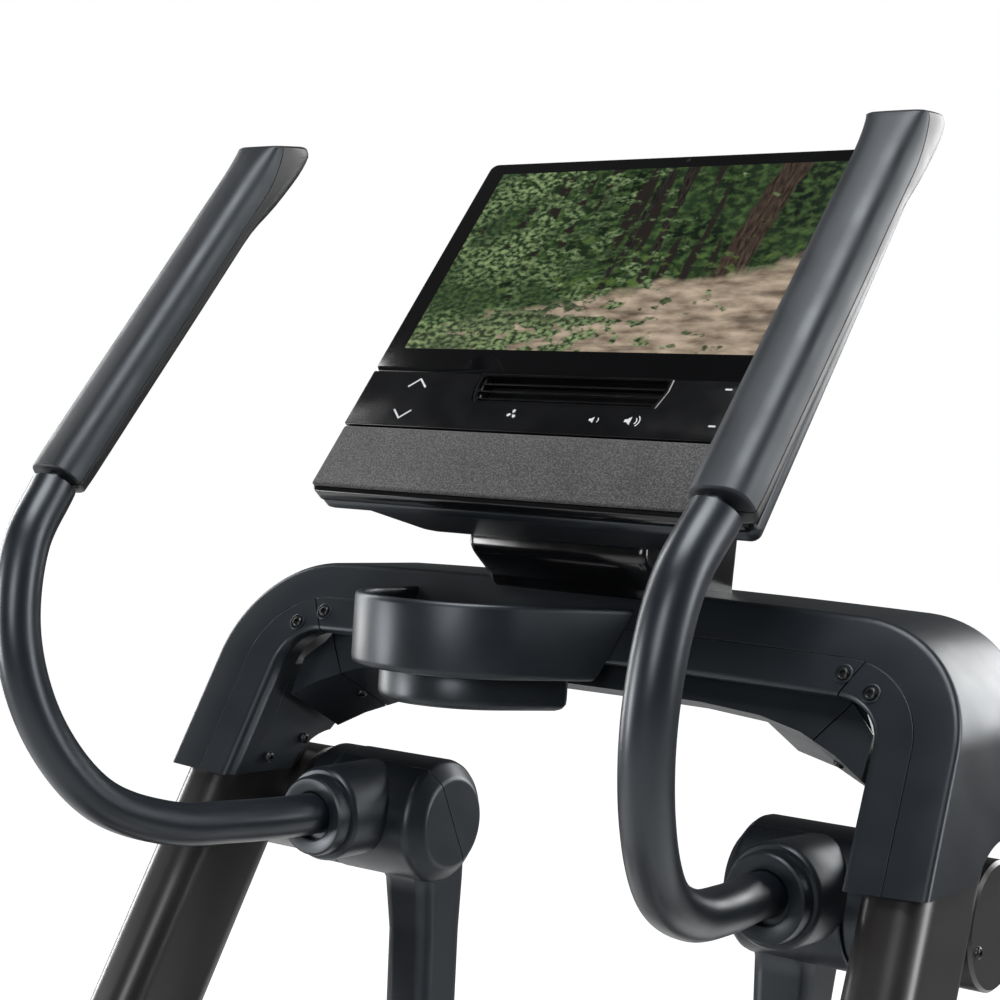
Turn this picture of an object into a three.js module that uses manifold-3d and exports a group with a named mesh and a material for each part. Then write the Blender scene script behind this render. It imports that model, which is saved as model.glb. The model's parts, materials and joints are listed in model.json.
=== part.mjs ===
// Elliptical trainer: a leaning arch frame, a tilted console, two swinging handle arms,
// two pedal beams and a belt-driven crank inside a housing.
// Units are millimetres. +Z is up, +Y is the way the user faces, +X is the user's right.
import * as THREE from 'three';
import { mergeVertices } from 'three/addons/utils/BufferGeometryUtils.js';
import Module from 'manifold-3d';

const wasm = await Module();
wasm.setup();

// ---------------------------------------------------------------- driving sizes
const DEG = Math.PI / 180;
const GAP = 0.3;                 // air between pieces that touch
const WALL = 3.5;                // wall of the moulded covers

const FRONT_Y = 700;             // foremost point, at the transport wheels
const REAR_Y = -700;             // rearmost point, at the rear stabilizer

const CONSOLE_CENTRE = new THREE.Vector3(0, 55, 1680);
const CONSOLE_TILT = 37.4 * DEG; // top of the console leans away from the user
const CONSOLE_HALF_WIDTH = 170.5;
const CONSOLE_TOP = 98;          // distances up the console's face from its centre
const GLASS_BOTTOM = -109;
const DECK_BOTTOM = -158;
const CONSOLE_BOTTOM = -215;

const ARCH_LEAN = 26.1 * DEG;    // the arch plane leans forward at the top
const ARCH_FACE = new THREE.Vector3(0, -4, 1429);  // on the seam, middle of the crossbar
const ARCH_CORNER_RADIUS = 56;   // radius of the seam line at the corners
const ARCH_HALF_WIDTH = 259;     // seam line, if the uprights were carried up to the crossbar
const ARCH_SPLAY = 0.05;         // outward run of an upright for each mm down the plane
const ARCH_DEPTH = 96;           // through the covers, at right angles to the arch plane
const OUTER_BAND = 28;           // seam to the outer edge
const INNER_BAND = 28;           // seam to the inner edge
const ARCH_CROWN = 3;            // rise of the crossbar at its middle
const COVER_END = 141;           // how far down the uprights the covers reach

const UPRIGHT_WIDTH = 44;
const UPRIGHT_DEPTH = 84;
const UPRIGHT_OUT = 1.5;         // tube centre outside the seam line
const UPRIGHT_TOP = 60;
const UPRIGHT_END = 1532;

const HUB_Y = 47;                // axis of the swinging arms
const HUB_Z = 1273.5;
const HUB_RADIUS = 44.5;
const HUB_INNER = 120;           // inner end of a hub
const HUB_OUTER = 208;           // outer end of the moving hub shells
const BOSS_FACE = 236;           // inner face of the boss that holds the axle
const AXLE_RADIUS = 14;
const RIGHT_PHASE = -1.361 * DEG; // arms at rest, turned about the hub axis from their mean
const LEFT_PHASE = 1.296 * DEG;

const BEAM_PIVOT_Y = 60;         // lower end of an arm, in its mean place
const BEAM_PIVOT_Z = 340;
const CRANK_Y = 440;
const CRANK_Z = 341;
const CRANK_RADIUS = 130;
const CRANK_REST = -9.7 * DEG;   // right crank arm, measured forward from straight up
const BEAM_LENGTH = Math.hypot(CRANK_Y - BEAM_PIVOT_Y, CRANK_RADIUS);

const PULLEY_RADIUS = 138;
const FLYWHEEL_Y = 500;
const FLYWHEEL_Z = 720;
const FLYWHEEL_RADIUS = 138;
const SMALL_PULLEY_RADIUS = 22;

const RAIL_TOP = 95;
const CROSS_TUBE_Y = 600;
const LIFT_Y = 648.5;

// ---------------------------------------------------------------- materials
const COLOURS = {
  frame_paint: 0x24262a,
  tube_paint: 0x1c2127,
  cover_plastic: 0x22252a,
  gloss_black: 0x0c0d0f,
  display: 0x101418,
  speaker_fabric: 0x3a3a3c,
  grip_rubber: 0x1b1c1e,
  grip_trim: 0x15171a,
  steel: 0x9a9da0,
  iron: 0x55585c,
  belt: 0x151515,
  tread: 0x1e1e20,
};
const materials = {};
for (const [slot, colour] of Object.entries(COLOURS)) {
  materials[slot] = new THREE.MeshStandardMaterial({ color: colour, name: slot });
}

const group = new THREE.Group();
group.name = 'elliptical_trainer';

function addPart(name, slot, geometry) {
  const mesh = new THREE.Mesh(geometry, materials[slot]);
  mesh.name = name;
  group.add(mesh);
}

// ---------------------------------------------------------------- solids from sections
const at = (x, y, z) => new THREE.Vector3(x, y, z);
const flat = (u, v) => new THREE.Vector2(u, v);

function signedVolume(positions, triangles) {
  let sum = 0;
  for (let i = 0; i < triangles.length; i += 3) {
    const [a, b, c] = [0, 1, 2].map((k) => new THREE.Vector3().fromArray(positions, triangles[i + k] * 3));
    sum += a.dot(b.cross(c));
  }
  return sum / 6;
}

function geometryFrom(positions, triangles) {
  const geometry = new THREE.BufferGeometry();
  const outward = signedVolume(positions, triangles) > 0;
  const ordered = [...triangles];
  if (!outward) {
    for (let i = 0; i < ordered.length; i += 3) {
      [ordered[i + 1], ordered[i + 2]] = [ordered[i + 2], ordered[i + 1]];
    }
  }
  geometry.setAttribute('position', new THREE.Float32BufferAttribute(positions, 3));
  geometry.setIndex(ordered);
  return geometry;
}

// Joins a row of flat sections. Each station maps its own (u, v) points into space.
function loft(stations, closedLoop = false) {
  const reversed = THREE.ShapeUtils.area(stations[0].section) < 0;
  const sections = stations.map((station) => (reversed ? [...station.section].reverse() : station.section));
  const count = sections[0].length;
  const positions = [];
  sections.forEach((section, s) => {
    for (const point of section) {
      positions.push(...stations[s].place(point.x, point.y).toArray());
    }
  });
  const triangles = [];
  const spans = closedLoop ? stations.length : stations.length - 1;
  for (let s = 0; s < spans; s += 1) {
    const near = s * count;
    const far = ((s + 1) % stations.length) * count;
    for (let i = 0; i < count; i += 1) {
      const j = (i + 1) % count;
      triangles.push(near + i, near + j, far + j, near + i, far + j, far + i);
    }
  }
  if (!closedLoop) {
    const last = (stations.length - 1) * count;
    for (const [a, b, c] of THREE.ShapeUtils.triangulateShape(sections[0], [])) {
      triangles.push(c, b, a);
    }
    for (const [a, b, c] of THREE.ShapeUtils.triangulateShape(sections.at(-1), [])) {
      triangles.push(last + a, last + b, last + c);
    }
  }
  return geometryFrom(positions, triangles);
}

function prism(section, place, from, to) {
  return loft([from, to].map((w) => ({ section, place: (u, v) => place(u, v, w) })));
}

const alongX = (u, v, w) => at(w, u, v);
const alongY = (u, v, w) => at(u, w, v);
const alongZ = (u, v, w) => at(u, v, w);

function circle(radius, sides, u = 0, v = 0) {
  return Array.from({ length: sides }, (_, i) => {
    const angle = ((i + 0.5) / sides) * 2 * Math.PI;
    return flat(u + radius * Math.cos(angle), v + radius * Math.sin(angle));
  });
}

function roundedRect(width, height, radius, perCorner = 3, u = 0, v = 0) {
  const points = [];
  const corners = [[1, 1], [-1, 1], [-1, -1], [1, -1]];
  corners.forEach(([sx, sy], quarter) => {
    for (let i = 0; i < perCorner; i += 1) {
      const angle = (quarter + i / (perCorner - 1)) * 90 * DEG;
      points.push(flat(
        u + sx * (width / 2 - radius) + radius * Math.cos(angle),
        v + sy * (height / 2 - radius) + radius * Math.sin(angle),
      ));
    }
  });
  return points;
}

function box(x0, x1, y0, y1, z0, z1, corner = 0) {
  const section = corner > 0
    ? roundedRect(y1 - y0, z1 - z0, corner, 3, (y0 + y1) / 2, (z0 + z1) / 2)
    : [flat(y0, z0), flat(y1, z0), flat(y1, z1), flat(y0, z1)];
  return prism(section, alongX, x0, x1);
}

function rod(x0, x1, y, z, radius, sides = 24) {
  return prism(circle(radius, sides, y, z), alongX, x0, x1);
}

// A solid turned about an axis parallel to X: rows of [x, radius].
function turned(profile, y, z, sides = 28) {
  return loft(profile.map(([x, radius]) => ({
    section: circle(radius, sides, y, z),
    place: (u, v) => at(x, u, v),
  })));
}

// ---------------------------------------------------------------- booleans
function toSolid(geometry) {
  const clean = geometry.clone();
  clean.deleteAttribute('normal');
  clean.deleteAttribute('uv');
  const merged = mergeVertices(clean, 1e-4);
  return new wasm.Manifold(new wasm.Mesh({
    numProp: 3,
    vertProperties: Float32Array.from(merged.attributes.position.array),
    triVerts: Uint32Array.from(merged.index.array),
  }));
}

function fromSolid(solid) {
  const mesh = solid.getMesh();
  return geometryFrom(Array.from(mesh.vertProperties), Array.from(mesh.triVerts));
}

function cut(geometry, ...tools) {
  return fromSolid(tools.reduce((solid, tool) => solid.subtract(toSolid(tool)), toSolid(geometry)));
}

function join(geometry, ...others) {
  return fromSolid(others.reduce((solid, other) => solid.add(toSolid(other)), toSolid(geometry)));
}

function common(geometry, other) {
  return fromSolid(toSolid(geometry).intersect(toSolid(other)));
}

function mirrored(geometry) {
  const source = geometry.attributes.position.array;
  const positions = Array.from(source, (value, i) => (i % 3 === 0 ? -value : value));
  return geometryFrom(positions, Array.from(geometry.index.array));
}

function turnedAboutX(geometry, angle, y, z) {
  const result = geometry.clone();
  result.translate(0, -y, -z);
  result.rotateX(angle);
  result.translate(0, y, z);
  return result;
}

// ---------------------------------------------------------------- console
const CONSOLE_UP = at(0, Math.sin(CONSOLE_TILT), Math.cos(CONSOLE_TILT));
const CONSOLE_OUT = at(0, -Math.cos(CONSOLE_TILT), Math.sin(CONSOLE_TILT));

function onConsole(x, up, out) {
  return CONSOLE_CENTRE.clone().addScaledVector(CONSOLE_UP, up).addScaledVector(CONSOLE_OUT, out).setX(x);
}

function consolePlate(outline, back, front) {
  return prism(outline, onConsole, back, front);
}

function consoleRect(halfWidth, bottom, top, radius = 0, perCorner = 4) {
  return radius > 0
    ? roundedRect(2 * halfWidth, top - bottom, radius, perCorner, 0, (top + bottom) / 2)
    : [flat(-halfWidth, bottom), flat(halfWidth, bottom), flat(halfWidth, top), flat(-halfWidth, top)];
}

const MID_FRAME_FRONT = -3.3;
const MID_FRAME_BACK = -14;
const BACK_SHELL_BACK = -28;
const BULGE_BACK = -58;
const BULGE_HALF_WIDTH = 150;    // where it leaves the slab
const BULGE_NARROWING = 38;      // on each side, towards its back face
const BULGE_TOP = 10;
const BULGE_CORNER = 12;
const SLAB_CORNER = 7;
const SLAB_CHAMFER = 6;
const VENT_TOP = -110;
const VENT_MIDDLE = -121;
const VENT_BOTTOM = -135;
const VENT_HALF_WIDTH = 77;
const VENT_FOOT_HALF_WIDTH = 72;
const VENT_SHOULDER = -119;      // where the vent's ends start to slant in

const ventOutline = [
  flat(-VENT_FOOT_HALF_WIDTH, VENT_BOTTOM), flat(VENT_FOOT_HALF_WIDTH, VENT_BOTTOM),
  flat(VENT_HALF_WIDTH, VENT_SHOULDER), flat(VENT_HALF_WIDTH, VENT_TOP),
  flat(-VENT_HALF_WIDTH, VENT_TOP), flat(-VENT_HALF_WIDTH, VENT_SHOULDER),
];

// The deep middle of the console's back. It tapers from where it leaves the slab to its back face.
function bulge(inset) {
  const rect = (halfWidth, bottom, top) => consoleRect(
    halfWidth - inset, CONSOLE_BOTTOM + bottom + inset, BULGE_TOP - top - inset, BULGE_CORNER);
  const wide = rect(BULGE_HALF_WIDTH, 6, 0);
  const narrow = rect(BULGE_HALF_WIDTH - BULGE_NARROWING, 12, 22);
  return loft([
    { section: wide, place: (u, v) => onConsole(u, v, MID_FRAME_BACK - GAP) },
    { section: wide, place: (u, v) => onConsole(u, v, BACK_SHELL_BACK) },
    { section: narrow, place: (u, v) => onConsole(u, v, BULGE_BACK + inset) },
  ]);
}

// The thin slab behind the whole console, with a chamfer round its back.
function backSlab(inset, front) {
  const rect = (chamfer) => {
    const shrink = chamfer + inset;
    return consoleRect(CONSOLE_HALF_WIDTH - shrink, CONSOLE_BOTTOM + shrink, CONSOLE_TOP - shrink, SLAB_CORNER);
  };
  return loft([
    { section: rect(1), place: (u, v) => onConsole(u, v, front) },
    { section: rect(1), place: (u, v) => onConsole(u, v, BACK_SHELL_BACK + SLAB_CHAMFER) },
    { section: rect(1 + SLAB_CHAMFER), place: (u, v) => onConsole(u, v, BACK_SHELL_BACK + inset) },
  ]);
}

const consoleBack = join(backSlab(0, MID_FRAME_BACK - GAP), bulge(0));
const consoleHollow = join(backSlab(WALL, MID_FRAME_BACK + 5), bulge(WALL));
const bulgeMouth = consoleRect(
  BULGE_HALF_WIDTH - WALL, CONSOLE_BOTTOM + 6 + WALL, BULGE_TOP - WALL, BULGE_CORNER);
addPart('console_back_shell', 'gloss_black', cut(
  consoleBack, consoleHollow, consolePlate(bulgeMouth, BACK_SHELL_BACK, MID_FRAME_BACK + 5)));

const midFrameOutline = consoleRect(CONSOLE_HALF_WIDTH, CONSOLE_BOTTOM, CONSOLE_TOP, SLAB_CORNER);
const airPassage = consoleRect(60, VENT_BOTTOM + 4, VENT_TOP - 3.5);
addPart('console_mid_frame', 'gloss_black', cut(
  consolePlate(midFrameOutline, MID_FRAME_BACK, MID_FRAME_FRONT),
  consolePlate(airPassage, MID_FRAME_BACK - 1, MID_FRAME_FRONT + 1),
));

// Three panels side by side on the face of the mid frame.
const PANEL_BACK = MID_FRAME_FRONT + GAP;
const glassOutline = consoleRect(CONSOLE_HALF_WIDTH, GLASS_BOTTOM + GAP, CONSOLE_TOP, 5);
const deckOutline = consoleRect(CONSOLE_HALF_WIDTH, DECK_BOTTOM + GAP, GLASS_BOTTOM);
const speakerOutline = consoleRect(CONSOLE_HALF_WIDTH - 1, CONSOLE_BOTTOM + 8, DECK_BOTTOM);
addPart('display_glass', 'display', consolePlate(glassOutline, PANEL_BACK, 0));
addPart('control_deck', 'gloss_black', cut(
  consolePlate(deckOutline, PANEL_BACK, 0), consolePlate(ventOutline, -5, 5)));
addPart('speaker_panel', 'speaker_fabric', consolePlate(speakerOutline, PANEL_BACK, -0.4));

// Vent grille: a rim with three slats across it.
const shrunkVent = (across, along) => ventOutline.map(
  (p) => flat(p.x * across, VENT_MIDDLE + (p.y - VENT_MIDDLE) * along));
const ventRim = cut(
  consolePlate(shrunkVent(0.995, 0.97), -2.9, -0.6), consolePlate(shrunkVent(0.93, 0.78), -5, 5));
const SLAT_SPACING = 6.5;
const slats = [-1, 0, 1].map((row) => {
  const up = VENT_MIDDLE + row * SLAT_SPACING;
  return consolePlate(consoleRect(VENT_FOOT_HALF_WIDTH, up - 0.9, up + 0.9), -2.8, -1);
});
addPart('vent_grille', 'gloss_black', join(ventRim, ...slats));

// Cooling fan behind the vent: a hub with flat blades.
const FAN_UP = VENT_MIDDLE;
const FAN_BACK = -46;
const FAN_FRONT = -34;
const FAN_BLADES = 7;
const FAN_RADIUS = 34;
const FAN_HUB_RADIUS = 10;
const fanBlades = Array.from({ length: FAN_BLADES }, (_, i) => {
  const angle = (i / FAN_BLADES) * 2 * Math.PI;
  const direction = flat(Math.cos(angle), Math.sin(angle));
  const across = flat(-direction.y, direction.x);
  const corners = [[6, -1.2], [FAN_RADIUS, -1.2], [FAN_RADIUS, 1.2], [6, 1.2]];
  const outline = corners.map(([r, s]) => flat(
    direction.x * r + across.x * s, FAN_UP + direction.y * r + across.y * s));
  return consolePlate(outline, FAN_BACK + 1, FAN_FRONT - 1);
});
const fanHub = consolePlate(circle(FAN_HUB_RADIUS, 20, 0, FAN_UP), FAN_BACK, FAN_FRONT);
addPart('cooling_fan', 'cover_plastic', join(fanHub, ...fanBlades));

// ---------------------------------------------------------------- arch
const ARCH_DOWN = at(0, -Math.sin(ARCH_LEAN), -Math.cos(ARCH_LEAN));
const ARCH_BACK = at(0, Math.cos(ARCH_LEAN), -Math.sin(ARCH_LEAN)); // away from the user

function onArch(x, down, back) {
  return ARCH_FACE.clone().addScaledVector(ARCH_DOWN, down).addScaledVector(ARCH_BACK, back).setX(x);
}

// As onArch, but carried straight forward instead of at right angles to the arch plane.
function onArchLevel(x, down, back) {
  const forward = at(0, back / Math.cos(ARCH_LEAN), 0);
  return ARCH_FACE.clone().addScaledVector(ARCH_DOWN, down).add(forward).setX(x);
}

const seamX = (down) => ARCH_HALF_WIDTH + ARCH_SPLAY * down;

// Points of the seam line from the foot of the left upright to the foot of the right one,
// each with its outward direction in the arch plane.
function archPath(downEnd) {
  const turn = Math.PI / 2 - Math.atan(ARCH_SPLAY);
  const cornerX = ARCH_HALF_WIDTH - ARCH_CORNER_RADIUS * Math.tan(turn / 2);
  const steps = 8;
  const right = [0.4, 0.75].map((part) => ({
    x: cornerX * part, down: -ARCH_CROWN * (1 - part * part), outX: 0.03 * part, outDown: -1,
  }));
  for (let i = 0; i <= steps; i += 1) {
    const angle = (i / steps) * turn;
    right.push({
      x: cornerX + ARCH_CORNER_RADIUS * Math.sin(angle),
      down: ARCH_CORNER_RADIUS * (1 - Math.cos(angle)),
      outX: Math.sin(angle),
      outDown: -Math.cos(angle),
    });
  }
  const foot = right.at(-1);
  right.push({ ...foot, x: foot.x + ARCH_SPLAY * (downEnd - foot.down), down: downEnd });
  const left = [...right].reverse().map((p) => ({ ...p, x: -p.x, outX: -p.outX }));
  return [...left, { x: 0, down: -ARCH_CROWN, outX: 0, outDown: -1 }, ...right];
}

// Sweeps a section of (outward, back) points along the arch.
function alongArch(section, path) {
  return loft(path.map((p) => ({
    section,
    place: (outward, back) => onArchLevel(p.x + p.outX * outward, p.down + p.outDown * outward, back),
  })));
}

// A stretch of one upright, between two distances down the arch plane.
function alongUpright(section, downFrom, downTo) {
  const tilt = Math.atan(ARCH_SPLAY);
  const across = Math.cos(tilt);
  const along = -Math.sin(tilt);
  return loft([downFrom, downTo].map((down) => ({
    section,
    place: (outward, back) => onArchLevel(seamX(down) + outward * across, down + outward * along, back),
  })));
}

const HUB_AIR = 9;               // room round a turning hub
const hubClearance = rod(-320, 320, HUB_Y, HUB_Z, HUB_RADIUS + HUB_AIR, 32);

// Outer cover: a channel with rounded front and back edges, open towards the seam.
const outerInside = OUTER_BAND - WALL;
const outerSection = [
  flat(GAP / 2, 0), flat(OUTER_BAND - 6, 0.6), flat(OUTER_BAND - 2, 1.8), flat(OUTER_BAND, 5),
  flat(OUTER_BAND, ARCH_DEPTH - 10), flat(OUTER_BAND - 3, ARCH_DEPTH - 3),
  flat(OUTER_BAND - 10, ARCH_DEPTH),
  flat(GAP / 2, ARCH_DEPTH), flat(GAP / 2, ARCH_DEPTH - WALL), flat(outerInside - 8, ARCH_DEPTH - WALL),
  flat(outerInside, ARCH_DEPTH - 11), flat(outerInside, 7), flat(outerInside - 3, WALL + 0.8),
  flat(GAP / 2, WALL),
];
const outerShell = alongArch(outerSection, archPath(COVER_END));
addPart('arch_outer_cover', 'cover_plastic', cut(outerShell, hubClearance));

// Steel crossbar inside the outer cover, bent down to sit on the uprights.
const crossbarSection = roundedRect(20, 76, 8, 3, 13, ARCH_DEPTH / 2);
addPart('crossbar_tube', 'frame_paint', alongArch(crossbarSection, archPath(UPRIGHT_TOP - GAP)));

// Lower covers: a rounded band round the inside of the arch, a flat web behind it and a deep
// gusset in each corner. Two slanting seams split them into a middle and two corner pieces.
const WEB_FRONT = 20;
const WEB_BACK = 31;
const GUSSET_BACK = 81;
const bandSection = [
  flat(-GAP / 2, 0), flat(-INNER_BAND + 14, 1), flat(-INNER_BAND + 5, 5), flat(-INNER_BAND, 13),
  flat(-INNER_BAND, WEB_FRONT + 2), flat(-INNER_BAND + WALL, WEB_FRONT + 2), flat(-INNER_BAND + WALL, 15),
  flat(-INNER_BAND + 7, 8.2), flat(-INNER_BAND + 13, WALL + 1.2), flat(-GAP / 2, WALL),
];
const WEB_TOP = 3;
const GUSSET_START = 148;        // where the gusset leaves the straight web
const GUSSET_END = 226;
const webEdge = [[0, 33], [60, 33], [105, 33.5], [GUSSET_START, 37], [178, 44], [205, 56], [GUSSET_END, 69]];
const rightEdge = webEdge.map(([x, down]) => flat(x, down));
const leftEdge = webEdge.slice(1).reverse().map(([x, down]) => flat(-x, down));
const webOutline = [
  ...leftEdge, ...rightEdge,
  flat(GUSSET_END, 40), flat(190, WEB_TOP), flat(-190, WEB_TOP), flat(-GUSSET_END, 40),
];
const gussetOutline = [
  ...rightEdge.filter((p) => p.x >= GUSSET_START),
  flat(GUSSET_END, 40), flat(205, WEB_TOP), flat(GUSSET_START, WEB_TOP),
];
const gusset = prism(gussetOutline, onArch, WEB_FRONT, GUSSET_BACK);
const lowerCovers = join(
  alongArch(bandSection, archPath(COVER_END)),
  prism(webOutline, onArch, WEB_FRONT, WEB_BACK), gusset, mirrored(gusset),
);
const SEAM_TOP_X = 221;          // the seam leans in as it goes down
const SEAM_BOTTOM_X = 176;
const SEAM_BOTTOM_DOWN = 66;
function seamWedge(side, shift) {
  const outline = [flat(SEAM_TOP_X + shift, -1), flat(SEAM_BOTTOM_X + shift, SEAM_BOTTOM_DOWN),
    flat(SEAM_BOTTOM_X + shift, 300), flat(420, 300), flat(420, -1)];
  return prism(outline.map((p) => flat(side * p.x, p.y)), onArch, -5, ARCH_DEPTH + 5);
}
const lowerCutForHub = cut(lowerCovers, hubClearance);
addPart('arch_lower_cover', 'cover_plastic', cut(
  lowerCutForHub, seamWedge(1, -GAP / 2), seamWedge(-1, -GAP / 2)));
for (const [name, side] of [['arch_corner_cover_right', 1], ['arch_corner_cover_left', -1]]) {
  addPart(name, 'cover_plastic', common(lowerCutForHub, seamWedge(side, GAP / 2)));
}

// Inner side plates of the uprights, each with two screw holes.
const PLATE_WALL = 3.2;
const PLATE_FRONT = WEB_FRONT + 2 + GAP;
const sidePlate = alongUpright([
  flat(-INNER_BAND, PLATE_FRONT), flat(-INNER_BAND, ARCH_DEPTH - 3), flat(-INNER_BAND + 3, ARCH_DEPTH),
  flat(-GAP / 2, ARCH_DEPTH), flat(-GAP / 2, ARCH_DEPTH - WALL), flat(-INNER_BAND + 4, ARCH_DEPTH - WALL),
  flat(-INNER_BAND + PLATE_WALL, ARCH_DEPTH - WALL - 1), flat(-INNER_BAND + PLATE_WALL, PLATE_FRONT),
], UPRIGHT_TOP - 5, COVER_END);
const plateScrews = [[11, 1323], [-26, 1312]];
const plateHoles = plateScrews.map(([y, z]) => rod(220, 240, y, z, 3.4, 12));
// The far lower corner of each plate is cut away to leave the hub free.
const belowPlate = prism(
  [flat(35, 1200), flat(35, 1320), flat(52, 1335), flat(150, 1335), flat(150, 1200)], alongX, 200, 300);
const rightPlate = cut(sidePlate, hubClearance, belowPlate, ...plateHoles);
addPart('upright_inner_cover_right', 'cover_plastic', rightPlate);
addPart('upright_inner_cover_left', 'cover_plastic', mirrored(rightPlate));

// Uprights: bare oval tubes with the boss that holds the arm's axle.
const tubeSection = (grow) => roundedRect(
  UPRIGHT_WIDTH + 2 * grow, UPRIGHT_DEPTH + 2 * grow, 18, 5, UPRIGHT_OUT, ARCH_DEPTH / 2);
const upright = alongUpright(tubeSection(0), UPRIGHT_TOP, UPRIGHT_END);
const boss = rod(BOSS_FACE, 291, HUB_Y, HUB_Z, 40, 28);
const STABILIZER_TOP = 90;
const floorCut = box(200, 460, REAR_Y - 50, 0, -60, STABILIZER_TOP + GAP);
const rightUpright = cut(join(upright, boss), floorCut);
addPart('upright_right', 'frame_paint', rightUpright);
addPart('upright_left', 'frame_paint', mirrored(rightUpright));

// Front struts from the uprights down to the front cross tube.
const strutSection = roundedRect(36, 56, 12, 4);
const strutTop = at(284, -190, 940);
const strutFoot = at(284, CROSS_TUBE_Y + 4, 80);
const strutRun = strutFoot.clone().sub(strutTop).normalize();
const strutAcross = at(0, strutRun.z, -strutRun.y);
const strutPlace = (centre) => (u, v) => centre.clone().add(at(u, 0, 0)).addScaledVector(strutAcross, v);
const uprightSleeve = alongUpright(tubeSection(GAP), UPRIGHT_TOP, UPRIGHT_END);
const nearHalf = [flat(-60, -200), flat(70, -200), flat(70, ARCH_DEPTH / 2), flat(-60, ARCH_DEPTH / 2)];
const behindUpright = alongUpright(nearHalf, UPRIGHT_TOP, UPRIGHT_END);
const CROSS_TUBE_TOP = 110;
const strut = cut(
  loft([strutTop, strutFoot].map((centre) => ({ section: strutSection, place: strutPlace(centre) }))),
  uprightSleeve, behindUpright, box(200, 400, 400, 800, 0, CROSS_TUBE_TOP + GAP),
);
addPart('strut_right', 'frame_paint', strut);
addPart('strut_left', 'frame_paint', mirrored(strut));

// ---------------------------------------------------------------- base
const STABILIZER_Y = REAR_Y + 32;
const FOOT_X = 335;
const STABILIZER_WIDTH = 64;
const STABILIZER_HEIGHT = 55;
const STABILIZER_HALF_LENGTH = 372;
const CAP_CHAMFER = 6;
const stabilizerRows = [[STABILIZER_HALF_LENGTH, CAP_CHAMFER], [STABILIZER_HALF_LENGTH - 8, 0]];
const stabilizer = loft([
  ...stabilizerRows.map(([x, inset]) => [-x, inset]), ...stabilizerRows.toReversed(),
].map(([x, inset]) => ({
  section: roundedRect(STABILIZER_WIDTH - 2 * inset, STABILIZER_HEIGHT - 2 * inset, 14, 4,
    STABILIZER_Y, STABILIZER_TOP - STABILIZER_HEIGHT / 2),
  place: (u, v) => at(x, u, v),
})));
const footBores = [-FOOT_X, FOOT_X].map((x) => prism(circle(6.4, 16, x, STABILIZER_Y), alongZ, 20, 80));
addPart('rear_stabilizer', 'frame_paint', cut(stabilizer, ...footBores));

const RAIL_SIZE = 60;
const CROSS_TUBE_SIZE = 50;
const RAIL_REAR = REAR_Y + STABILIZER_WIDTH + GAP;
const RAIL_FRONT = CROSS_TUBE_Y - CROSS_TUBE_SIZE / 2 - GAP;
addPart('base_rail', 'frame_paint', prism(
  roundedRect(RAIL_SIZE, RAIL_SIZE, 10, 3, 0, RAIL_TOP - RAIL_SIZE / 2), alongY, RAIL_REAR, RAIL_FRONT));
addPart('front_cross_tube', 'frame_paint', prism(
  roundedRect(CROSS_TUBE_SIZE, CROSS_TUBE_SIZE, 10, 3, CROSS_TUBE_Y, CROSS_TUBE_TOP - CROSS_TUBE_SIZE / 2),
  alongX, -312, 312));

// A leveling foot: a round pad and the threaded stem that enters the stabilizer.
const footProfile = [[0, 20], [3, 22], [12, 22], [15, 8], [17, 6], [58, 6]];
for (const [name, side] of [['leveling_foot_right', 1], ['leveling_foot_left', -1]]) {
  addPart(name, 'tread', loft(footProfile.map(([z, radius]) => ({
    section: circle(radius, 16, side * FOOT_X, STABILIZER_Y),
    place: (u, v) => at(u, v, z),
  }))));
}

// Lift leg: a square leg that slides in a sleeve and carries a cross bar with two wheels.
const SLEEVE_BOTTOM = 92;
const SLEEVE_TOP = 300;
const sleeveSection = roundedRect(56, 46, 5, 3, 0, LIFT_Y);
addPart('lift_sleeve', 'frame_paint', cut(
  prism(sleeveSection, alongZ, SLEEVE_BOTTOM, SLEEVE_TOP),
  prism(roundedRect(44, 36, 3, 3, 0, LIFT_Y), alongZ, SLEEVE_BOTTOM - 5, SLEEVE_TOP - 8)));
const WHEEL_RADIUS = 34;
const WHEEL_Y = FRONT_Y - WHEEL_RADIUS;
const BAR_END = 216;
const liftBar = prism(roundedRect(44, 40, 8, 3, LIFT_Y, 45), alongX, -BAR_END, BAR_END);
const liftPost = prism(roundedRect(43.2, 35.2, 3, 3, 0, LIFT_Y), alongZ, 50, 268);
const wheelStub = rod(-BAR_END - 26, BAR_END + 26, WHEEL_Y, WHEEL_RADIUS, 5, 16);
addPart('lift_leg', 'frame_paint', join(liftBar, liftPost, wheelStub));
const wheel = cut(
  turned([[BAR_END + 2, 30], [BAR_END + 5, WHEEL_RADIUS], [BAR_END + 19, WHEEL_RADIUS], [BAR_END + 22, 30]],
    WHEEL_Y, WHEEL_RADIUS, 24),
  rod(BAR_END, BAR_END + 30, WHEEL_Y, WHEEL_RADIUS, 5.4, 16));
addPart('transport_wheel_right', 'tread', wheel);
addPart('transport_wheel_left', 'tread', mirrored(wheel));

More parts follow.
